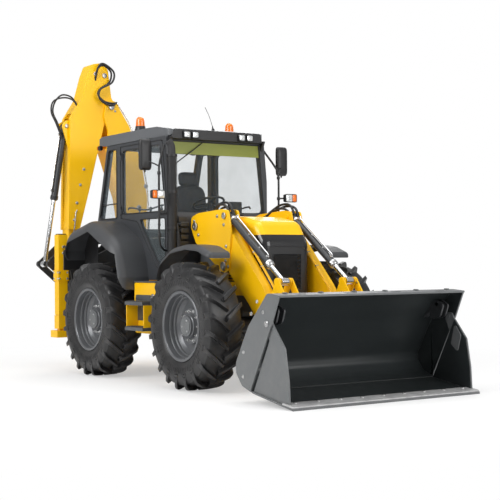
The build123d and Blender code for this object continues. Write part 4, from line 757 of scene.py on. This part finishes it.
for i in range(cols):
    for j in range(count):
        shift = 0.5 * (j % 2)
        a0 = tau * (i + shift) / cols
        a1 = tau * (i + 1 + shift) / cols
        b0, b1 = z_lo + j * step, z_lo + (j + 1) * step
        am, bm_ = (a0 + a1) / 2, (b0 + b1) / 2
        square, hole = [], []
        for q in range(8):
            t = tau * (q + 0.5) / 8
            c, s = cos(t), sin(t)
            m = max(abs(c), abs(s))
            square.append(k.bm.verts.new(around(am + c / m * (a1 - a0) / 2, bm_ + s / m * step / 2, r)))
            hole.append(k.bm.verts.new(around(am + c * 0.62 * (a1 - a0) / 2, bm_ + s * 0.62 * step / 2, r - 0.001)))
        for q in range(8):
            w = (q + 1) % 8
            k.bm.faces.new((square[q], square[w], hole[w], hole[q]))
for z in (z_lo, 1.78, 2.2, z_hi):
    k.turned((x, y, z - 0.016), Z, [(0, 0.0605), (0.002, 0.064), (0.03, 0.064), (0.032, 0.0605)], 40)
k.tube([(x, y, 1.262), (x - 0.004, y + 0.06, 1.2), (x - 0.01, y + 0.155, 1.1)], 0.04, 20, 6)
for z in (1.5, 1.8):
    k.rod((x, y, z), (x - 0.0646, y + 0.061, z), 0.016)
k.turned((x, y, 1.25), Z, [(0, 0.04), (0.03, 0.06), (0.11, 0.062)], 40)
k.put("exhaust_guard", "black", 35, replaces="exhaust_stack")
k = Kit()
k.turned((x, y, 1.3), Z, [(0, 0.046), (1.33, 0.046)], 32)
k.tube([(x, y, 2.58), (x, y, 2.7), (x - 0.004, y - 0.012, 2.755), (x - 0.012, y - 0.04, 2.792)], 0.043, 28, 7)
k.put("exhaust_pipe", "iron", slot="engine_iron")

# Hood, grille and cowl
k = Kit()
xf = 2.6525
lo, hi, half, pitch = 1.075, 1.46, 0.188, 0.0135
span = hi - lo
m = int((2 * half + span) / pitch)
for i in range(1, m):
    s = i * pitch
    for flip in (1, -1):
        a = (-half + max(0, s - span), lo + min(s, span))
        b = (-half + min(s, 2 * half), lo + max(0, s - 2 * half))
        if abs(a[0] - b[0]) < 0.01:
            continue
        k.tube([(xf, flip * a[0], a[1]), (xf + 0.001 * flip, flip * b[0], b[1])], 0.0018, 4, 1, False)
k.tube([(xf, -half, lo), (xf, -half, hi), (xf, half, hi), (xf, half, lo), (xf, -half, lo)], 0.006, 8, 1)
k.put("grille_mesh", "black", 60)
k = Kit()
k.tube([(2.566, -0.262, 1.535), (2.612, -0.235, 1.546), (2.6385, -0.17, 1.5505), (2.643, 0, 1.5515),
    (2.6385, 0.17, 1.5505), (2.612, 0.235, 1.546), (2.566, 0.262, 1.535)], 0.0045, 8, 6)
k.put("grille_trim", "chrome", 60)
k = Kit()
shell = bmesh.new()
shell.from_mesh(NODES["hood"].data)
bmesh.ops.transform(shell, matrix=Matrix.Translation((-SH, 0, 0)) @ NODES["hood"].matrix_world, verts=shell.verts)
for at, no in (((2.47, 0, 0), -X), ((0, 0, 1.552), (-0.05, 0, 1)), ((0, 0, 1.03), -Z)):
    bmesh.ops.bisect_plane(shell, geom=shell.verts[:] + shell.edges[:] + shell.faces[:], plane_co=at, plane_no=no,
        clear_outer=True)
shell.normal_update()
for v in shell.verts:
    v.co += v.normal * 0.0025
me = bpy.data.meshes.new("nose_panel")
shell.to_mesh(me)
k.bm.from_mesh(me)
bpy.data.meshes.remove(me)
k.put("nose_panel", "gloss", 35, slot="black_plastic")
k = Kit()
cowl = rounded([(-0.335, 1.3), (0.335, 1.3), (0.335, 1.9), (0.24, 1.965), (-0.24, 1.965), (-0.335, 1.9)],
    [0, 0, 0.08, 0.06, 0.06, 0.08])
k.plate(cowl, (1.392, 0, 0), Y, Z, 0.1, 0.012)
for s in SIDES:
    for x_latch in (1.6, 2.36):
        k.plate(slab(0.03, 0.012, 0.008), (x_latch, s * 0.3225, 1.38), X, Z, 0.008)
    for i in range(7):
        k.plate(slab(0.16, 0.006, 0.005), (2.05, s * 0.3215, 1.17 + i * 0.03), X, Z, 0.006)
k.put("hood_cowl", "black")

# Loader arms: pins, bolts, pipes and hoses
ARM_Y = 0.43          # middle of each loader arm, across
bolts, pins, pipes, hoses = Kit(), Kit(), Kit(), Kit()
y = -ARM_Y
out = y - 0.076
for px, off, pz, r, h in ((1.56, 0.087, 1.8, 0.048, 0.012), (2.17, 0.085, 1.9, 0.036, 0.012),
        (2.15, 0.085, 1.34, 0.05, 0.01), (3.3, 0.132, 0.37, 0.036, 0.012), (2.95, 0.08, 0.78, 0.034, 0.01)):
    pins.pin((px, y - off, pz), -Y, r, h)
for bx, bz in ((2.155, 1.8), (2.2, 1.56), (2.185, 1.4), (2.235, 1.335), (1.62, 1.7), (1.53, 1.86), (2.02, 1.9),
        (2.06, 1.28)):
    bolts.bolt((bx, out, bz), -Y, 0.014, 0.012)
for off in (0.052, 0.068):
    pipes.tube([(2.26, y + off, 1.8), (2.33, y + off, 1.715), (2.875, y + off, 1.16), (3.01, y + off, 0.96),
        (3.1, y + off, 0.76)], 0.0065, 10, 5)
for t in (0.12, 0.4, 0.68):
    c = Vector((2.33, y, 1.715)).lerp(Vector((2.875, y, 1.16)), t)
    bolts.box(c + Vector((-0.01, 0.043, -0.012)), c + Vector((0.01, 0.076, 0.01)), 0.004)
for path in (
        [(2.26, -0.03, 1.8), (2.18, -0.045, 1.99), (2.02, -0.03, 2.03), (1.86, 0.02, 1.98), (1.7, 0.06, 1.9),
            (1.58, 0.1, 1.78)],
        [(2.26, 0, 1.8), (2.16, 0.01, 2.02), (1.98, 0.01, 2.05), (1.82, 0.03, 1.99), (1.66, 0.08, 1.88),
            (1.55, 0.12, 1.76)],
        [(2.26, 0.03, 1.8), (2.14, 0.045, 1.97), (1.96, 0.05, 2.0), (1.78, 0.08, 1.93), (1.62, 0.12, 1.82),
            (1.5, 0.14, 1.72)]):
    hoses.tube([(x, y + dy, z) for x, dy, z in path], 0.014, 12, 8)
for k, name, key in ((bolts, "arm_bolts", "steel"), (pins, "arm_pins", "steel"), (pipes, "arm_pipes", "yellow"),
        (hoses, "arm_hoses", "hose")):
    k.mirror()
    k.put(name, key, 45, "loader_arms")


def dress_ram(name, a, b, y, length, r, rod_r, barrel, side, place=None):
    """Gland, ports and pipe of a cylinder from a to b, in X and Z or at places on the backhoe arm."""
    if place is None:
        A, B = Vector((a[0], y, a[1])), Vector((b[0], y, b[1]))
    else:
        A, B = Vector(place(*a)), Vector(place(*b))
    d = (B - A).normalized()
    up = Vector(side).normalized()
    up = (up - d * up.dot(d)).normalized()
    k = Kit()
    k.turned(A + d * (length - 0.055), d, [(0, r), (0.003, r + 0.007), (0.045, r + 0.007), (0.05, r + 0.003),
        (0.056, r + 0.003), (0.06, rod_r + 0.012), (0.066, rod_r + 0.01), (0.068, rod_r + 0.002)], 40)
    k.turned(A + d * 0.07, d, [(0, r), (0.003, r + 0.006), (0.032, r + 0.006), (0.035, r)], 40)
    for s in (0.11, length - 0.11):
        p = A + d * s + up * (r + 0.004)
        k.turned(p - up * 0.006, up, [(0, 0.02), (0.014, 0.02), (0.018, 0.016)], 20)
        k.turned(p + up * 0.012, up, [(0, 0.012), (0.012, 0.012), (0.014, 0.01)], 6)
    k2 = Kit()
    p0, p1 = A + d * (length - 0.11) + up * (r + 0.022), A + d * 0.15 + up * (r + 0.03)
    k2.tube([p0, p0 + up * 0.012 - d * 0.02, p0 - d * 0.08 + up * 0.006, p1 + d * 0.08, p1,
        p1 - d * 0.03 + up * 0.02], 0.009, 10, 5)
    for t in (0.25, 0.6):
        c = p0.lerp(p1, t)
        k.turned(c - up * 0.028 - d * 0.01, d, [(0, 0.004), (0.001, 0.01), (0.019, 0.01), (0.02, 0.004)], 12)
    if place is None:
        k.mirror()
        k2.mirror()
    k.put(name + "_gland", "dark" if name.startswith("curl") else "steel", 40, barrel)
    k2.put(name + "_pipe", "chrome", 50, barrel)


dress_ram("tilt_ram", (2.17, 1.9), (3.18, 1.172), -ARM_Y, 0.96, 0.042, 0.027, "tilt_barrels", Z)
dress_ram("lift_ram", (1.25, 0.9), (2.15, 1.34), -ARM_Y, 0.9, 0.05, 0.03, "lift_barrels", (0, -0.5, -1))
dress_ram("boom_ram", (-0.02, 1.24), (0.262, 2.15), 0, 0.88, 0.06, 0.032, "boom_barrel", (1, 0.3, 0), arm_at)
dress_ram("dipper_ram", (0.15, 2.45), (0.764, 3.937), 0, 0.96, 0.052, 0.03, "dipper_barrel", (1, 0.3, 0), arm_at)
dress_ram("curl_ram", (1.3, 3.227), (1.6, 1.382), 0, 1.0, 0.045, 0.027, "curl_barrel", (0.4, -1, 0), arm_at)

k = Kit()
y = -ARM_Y
for at, off in (((3.18, 1.172), 0.078), ((2.95, 0.78), 0.08)):
    k.pin((at[0], y - off, at[1]), -Y, 0.036, 0.012)
    k.bolt((at[0] + 0.05, y - off + 0.003, at[1] - 0.02), -Y, 0.008, 0.007)
k.mirror()
k.put("lever_pins", "steel", 45, "tilt_levers")

# Loader bucket
def from_axle(*places):
    """Places in millimetres from the front axle and above the ground."""
    return [(WB + px / 1000, pz / 1000) for px, pz in places]


S = from_axle((1495, 135), (1333, 185), (1238, 300), (1240, 385), (1453, 742), (1778, 1060), (1950, 1047))
inner = rounded(S, [0, 0.066, 0.046, 0.046, 0.134, 0.04, 0], 6)
first = inner.index(min(inner, key=lambda p: (p[0] - S[0][0]) ** 2 + (p[1] - S[0][1]) ** 2))
inner = inner[first:] + inner[:first]
# Painted shade: a thin dark sheet over the bucket's inner faces and inner cheeks stands in for the shade in its
# hollow
k = Kit()
rows = []
for i, p in enumerate(inner):
    q0, q1 = Vector(inner[max(0, i - 1)]), Vector(inner[min(len(inner) - 1, i + 1)])
    t = (q1 - q0).normalized()
    nrm = Vector((t.y, -t.x))
    a, b = Vector(p) + nrm * 0.0035, Vector(p) + nrm * 0.0005
    rows.append([(a.x, -1.182, a.y), (a.x, 1.182, a.y), (b.x, 1.182, b.y), (b.x, -1.182, b.y)])
k.skin(rows)
cheek = from_axle((1480, 142), (1338, 192), (1247, 302), (1248, 383), (1458, 738), (1782, 1054), (1944, 1040),
    (1822, 785), (1465, 132))
for s in SIDES:
    k.plate(cheek, (0, s * 1.182, 0), X, Z, 0.003, 0.001)
k.put("bucket_shade_sheet", "inside", 25, "loader_bucket")
# Painted shade: the same dark sheet over the jaw's inner face and inner cheeks
k = Kit()
F = from_axle((1497, 127), (1993, 46.2), (2120, 29.5))
rows = []
for i in range(25):
    y = -1.161 + 2.322 * i / 24
    rows.append([(F[0][0], y, F[0][1]), (F[1][0], y, F[1][1]), (F[2][0], y, F[2][1]), (F[2][0], y, F[2][1] + 0.002),
        (F[1][0], y, F[1][1] + 0.002), (F[0][0], y, F[0][1] + 0.002)])
k.skin(rows)
jaw = from_axle((1838, 758), (2005, 565), (2058, 274), (2070, 44), (1993, 52), (1650, 108), (1504, 130))
for s in SIDES:
    k.plate(jaw, (0, s * 1.1615, 0), X, Z, 0.003, 0.001)
k.put("jaw_shade_sheet", "inside", 25, "bucket_clam")

k = Kit()
nose = Vector((4.371, 0, 0.0225))
heel = Vector((4.195, 0, 0.0462))
run = (nose - heel).normalized()
lift = Vector((-run.z, 0, run.x))
strip = [(0, 0), (0.168, 0), (0.168, 0.012), (0.15, 0.016), (0.012, 0.016), (0, 0.008)]
for part in range(3):
    y0, y1 = -1.2 + part * 0.8 + 0.0015, -1.2 + (part + 1) * 0.8 - 0.0015
    k.skin([[heel + run * s + lift * h + Y * y for s, h in strip] for y in (y0, y1)])
k.put("cutting_edge", "edge_steel", 25, "bucket_clam")
k = Kit()
for i in range(9):
    y = -1.08 + 2.16 * i / 8
    at = heel + run * 0.05 + lift * 0.016 + Y * y
    k.turned(at, lift, [(-0.002, 0.021), (0.004, 0.021), (0.009, 0.017), (0.011, 0.009)], 20)
for s in SIDES:
    k.pin((3.957, s * 1.2, 0.79), Y * s, 0.03, 0.01)
k.put("edge_bolts", "steel", 35, "bucket_clam")

k, dark, steel = Kit(), Kit(), Kit()
for s in SIDES:
    for bx, bz in ((3.8, 1.00), (3.7, 0.88), (3.56, 0.5), (3.55, 0.26), (3.9, 0.9)):
        steel.bolt((bx, s * 1.2, bz), Y * s, 0.013, 0.011)
    cheek = rounded([(-0.02, -0.1), (0.12, -0.07), (0.17, 0.06), (0.06, 0.11), (-0.06, 0.05)], 0.03)
    for y in (1.1, 1.03):
        dark.plate(cheek, (3.86, s * y, 0.86), X, Z, 0.02)
    dark.rod((3.7, s * 1.065, 0.8), (3.9, s * 1.065, 0.905), 0.036, 24, 0.006)
    dark.rod((3.93, s * 1.02, 0.92), (3.93, s * 1.115, 0.92), 0.026, 20, 0.004)
    steel.rod((3.88, s * 1.065, 0.894), (3.94, s * 1.065, 0.926), 0.018, 20)
    dark.tube([(3.72, s * 1.03, 0.84), (3.76, s * 0.98, 0.95), (3.72, s * 0.9, 1.02), (3.62, s * 0.8, 0.99)], 0.011,
        10, 6)
    for y in (0.2, 0.62, 1.05):
        k.plate(rounded([(-0.04, -0.02), (0.04, -0.02), (0.028, 0.012), (-0.028, 0.012)], 0.006),
            (4.05, s * y, 1.078), X, Z, 0.022)
    dark.turned((3.48, s * ARM_Y, 0.74), Y * s, [(0.122, 0.036), (0.13, 0.036), (0.134, 0.03)], 24)
for y in (-0.9, -0.3, 0.3, 0.9):
    k.box((3.96, y - 0.05, 1.062), (4.12, y + 0.05, 1.075), 0.004)
k.put("bucket_tabs", "bucket", 35, "loader_bucket")
dark.put("jaw_gear", "dark", 40, "loader_bucket")
steel.put("bucket_bolts", "steel", 40, "loader_bucket")

# Backhoe: hoses, pipes, pins and bolts
k = Kit()
for off in (0.03, -0.02):
    k.tube([arm_at(*p) for p in ((0.59 - off, 3.6, 0.05 + off), (0.37 - off, 3.28, 0.05 + off),
        (0.185 - off, 2.77, 0.05 + off), (0.1 - off, 2.3, 0.05 + off), (0.118 - off, 1.66, 0.05 + off),
        (0.16 - off, 1.18, 0.05 + off))], 0.01, 10, 8)
k.put("boom_pipes", "chrome", 50, "boom")
k = Kit()
for i, off in enumerate((0.185, 0.21)):
    g = i * 0.03
    k.tube([arm_at(*p) for p in ((0.9, 3.86 + g, 0.12), (0.885, 4.02 + g, off), (0.8, 4.065 + g * 0.5, off),
        (0.69 - g, 3.98, off), (0.72 - g, 3.84, off), (0.86, 3.74, off), (0.885, 3.66 - g, off),
        (0.8, 3.58 - g, off), (0.68, 3.56 - g, off), (0.585, 3.58, 0.14))], 0.0135, 12, 8)
k.put("dipper_hoses", "hose", 60, "dipper")
k = Kit()
for i, off in enumerate((0.05, 0.085)):
    g = 0.04 * i
    k.tube([arm_at(*p) for p in ((1.12, 3.5 - g, off), (1.22, 3.62 - g, off), (1.36, 3.64 - g, off),
        (1.46 + g, 3.54, off), (1.49 + g, 3.4, off), (1.42 + g, 3.25, off), (1.36, 3.08 - g, off * 0.7))], 0.011,
        12, 8)
k.put("curl_hoses", "hose", 60, "dipper_extension")
k = Kit()
for u, z in ((1.08, 2.652), (1.134, 2.44), (1.185, 2.196), (1.223, 1.97)):
    for s in SIDES:
        k.bolt(arm_at(u, z, s * 0.13), X * s, 0.014, 0.012)
arm_pins(k, [(0.764, 3.937, 0.13, 0.034, 0.012)])
k.pin(arm_at(0.9, 3.95, 0.13), X, 0.028, 0.012)
k.tube([arm_at(*p) for p in ((1.19, 2.1, 0.142), (1.215, 2.05, 0.155), (1.235, 1.86, 0.155), (1.24, 1.8, 0.142))],
    0.009, 10, 5)
k.put("dipper_pins", "steel", 45, "dipper")
k = Kit()
arm_pins(k, [(0.68, 3.512, 0.173, 0.042, 0.012), (0.15, 2.45, 0.165, 0.032, 0.01),
    (0.262, 2.15, 0.165, 0.036, 0.01)])
for s in SIDES:
    k.bolt(arm_at(0.62, 3.46, s * 0.165), X * s, 0.011, 0.01)
k.put("boom_pins", "steel", 45, "boom")
k = Kit()
arm_pins(k, [(0.28, 0.98, 0.206, 0.04, 0.012), (-0.02, 1.24, 0.206, 0.038, 0.012)])
for s in SIDES:
    k.bolt(arm_at(0.23, 1.06, s * 0.194), X * s, 0.012, 0.01)
k.put("post_pins", "steel", 45, "swing_post")
k = Kit()
arm_pins(k, [(1.3, 3.227, 0.072, 0.03, 0.01), (1.25, 1.69, 0.156, 0.03, 0.01), (1.28, 1.36, 0.124, 0.034, 0.012)])
k.turned(arm_at(1.165, 3.16, 0.03), Z, [(0, 0.03), (0.01, 0.034), (0.05, 0.034), (0.06, 0.026)], 24)
k.put("extension_pins", "steel", 45, "dipper_extension")
k = Kit()
arm_pins(k, [(1.19, 1.03, 0.18, 0.032, 0.01)])
for i in range(5):
    off = -0.155 + 0.0775 * i
    k.bolt(arm_at(0.612, 1.672, off), (0, 1, 0.35), 0.008, 0.007)
k.put("digging_pins", "steel", 45, "digging_bucket")
k = Kit()
for i in range(3):
    g = 0.05 * i
    k.tube([(-1.06, 0.3 - g, 0.98), (-1.02, 0.34 - g, 1.25), (-1.05, 0.42 - g, 1.36), (-1.16, 0.46 - g * 0.5, 1.3),
        (-1.24, 0.47 - g * 0.5, 1.12)], 0.013, 12, 8)
k.put("post_hoses", "hose", 60, "shift_carriage")

# Valve block and its hoses between cab and arm
k, h = Kit(), Kit()
for s in SIDES:
    for i in range(5):
        z = 1.5 + i * 0.075
        k.box((1.395, s * 0.585 - 0.05, z), (1.452, s * 0.585 + 0.05, z + 0.055), 0.006)
        k.turned((1.425, s * 0.635, z + 0.028), Y * s, [(-0.002, 0.016), (0.012, 0.016), (0.015, 0.012)], 6)
        h.tube([(1.425, s * 0.648, z + 0.028), (1.43, s * 0.672, z + 0.03), (1.45, s * 0.672, z - 0.06),
            (1.46, s * (0.665 - 0.012 * i), 1.42), (1.44, s * (0.66 - 0.012 * i), 1.25)], 0.01, 10, 6)
    k.box((1.385, s * 0.585 - 0.05, 1.46), (1.4, s * 0.585 + 0.06, 1.92), 0.006)
k.put("valve_blocks", "dark")
h.put("valve_hoses", "hose", 60)

# Stabilisers, boxes, steps and the rear
k, d, h, g, n = Kit(), Kit(), Kit(), Kit(), Kit()
LEG_Y = -1.03
d.plate(slab(0.052, 0.052, 0.012), (-0.93, LEG_Y, 1.765), X, Y, 0.014)
for z in (1.19, 1.27):
    for o in (-0.055, 0.055):
        k.bolt((-0.93 + o, LEG_Y - 0.074, z), -Y, 0.01, 0.009)
        k.bolt((-0.856, LEG_Y + o, z), X, 0.01, 0.009)
for z in (1.6, 1.52):
    k.turned((-0.868, LEG_Y, z), X, [(-0.002, 0.018), (0.012, 0.018), (0.015, 0.014)], 6)
for path in (
        [(-0.855, 0, 1.6), (-0.8, 0, 1.6), (-0.775, 0.03, 1.45), (-0.785, 0.1, 1.15), (-0.84, 0.2, 1.02),
            (-0.9, 0.3, 0.98)],
        [(-0.855, 0, 1.52), (-0.81, 0, 1.51), (-0.795, 0.05, 1.38), (-0.8, 0.13, 1.12), (-0.85, 0.23, 0.99),
            (-0.9, 0.33, 0.96)]):
    h.tube([(x, LEG_Y + dy, z) for x, dy, z in path], 0.012, 12, 8)
d.plate(rounded([(-0.275, -0.005), (0.35, 0.075), (0.35, -0.46), (-0.275, -0.46)], 0.03), (-0.675, -0.8, 1.755), X,
    Z, 0.012)
d.box((-0.712, -1.1, 1.3), (-0.69, -0.78, 1.56), 0.02)
g.box((0.806, -0.905, 1.15), (1.314, -0.495, 1.17), 0.008)
k.turned((1.26, -0.9, 0.98), -Y, [(-0.002, 0.045), (0.012, 0.045), (0.016, 0.04), (0.016, 0.012), (0.03, 0.01)], 28)
g.plate(slab(0.19, 0.15, 0.03), (1.03, -0.902, 0.86), X, Z, 0.006, 0.0025)
for z in (0.64, 0.935):
    for i in range(9):
        g.box((0.9 + i * 0.043, -1.06, z - 0.001), (0.915 + i * 0.043, -0.91, z + 0.008), 0.003)
for x in (0.88, 1.288):
    n.plate([(-0.074, -0.128), (0.074, -0.128), (0.074, 0.128), (-0.074, 0.128)], (x + 0.006, -0.9765, 0.7675), Y,
        Z, 0.0145, 0.001)
for q in (k, d, h, g, n):
    q.mirror()
n.put("hanger_covers", "yellow")
k.put("frame_bolts", "steel")
d.put("rear_skirts", "black")
h.put("stabiliser_hoses", "hose", 60)
g.put("box_lids", "grey")
k, amber = Kit(), Kit()
for s in SIDES:
    k.box((-0.735, s * 0.94 - 0.09, 1.4), (-0.712, s * 0.94 + 0.09, 1.46), 0.006)
    oval(k, (-0.735, s * 0.9, 1.43), -Y, Z, [(0, 0.04, 0.026), (0.008, 0.036, 0.022)], 0.3, 20)
    oval(amber, (-0.735, s * 0.985, 1.43), -Y, Z, [(0, 0.035, 0.026), (0.008, 0.031, 0.022)], 0.3, 20)
k.put("tail_lamps", "red")
amber.put("tail_turn_lamps", "amber")

# Floor: white, fading from lit paint at its middle to the plain background
bm = bmesh.new()
bmesh.ops.create_grid(bm, x_segments=1, y_segments=1, size=60)
me = bpy.data.meshes.new("floor")
bm.to_mesh(me)
floor = add_object("floor", me)
floor.location = (0, 0, -0.001)
fm = bpy.data.materials.new("floor_white")
t, _, mix = nodes_of(fm, "MixShader")
paint = add(t, "BsdfPrincipled", Base_Color=(0.93, 0.93, 0.93, 1), Roughness=0.7)
glow = add(t, "Emission", Strength=1.0)
far = add(t, "VectorMath")
far.operation = "LENGTH"
t.links.new(add(t, "NewGeometry").outputs["Position"], far.inputs[0])
fade = spread(t, far.outputs["Value"], STUDIO, 1.0, From_Min=2.4, From_Max=6.5)
fade.interpolation_type = "SMOOTHSTEP"
seen = add(t, "LightPath").outputs["Is Camera Ray"]
plug(t, mix, Fac=math_node(t, "MULTIPLY", seen, fade.outputs[0]))
t.links.new(paint.outputs[0], mix.inputs[1])
t.links.new(glow.outputs[0], mix.inputs[2])
me.materials.append(fm)

scene.view_settings.view_transform = "Standard"
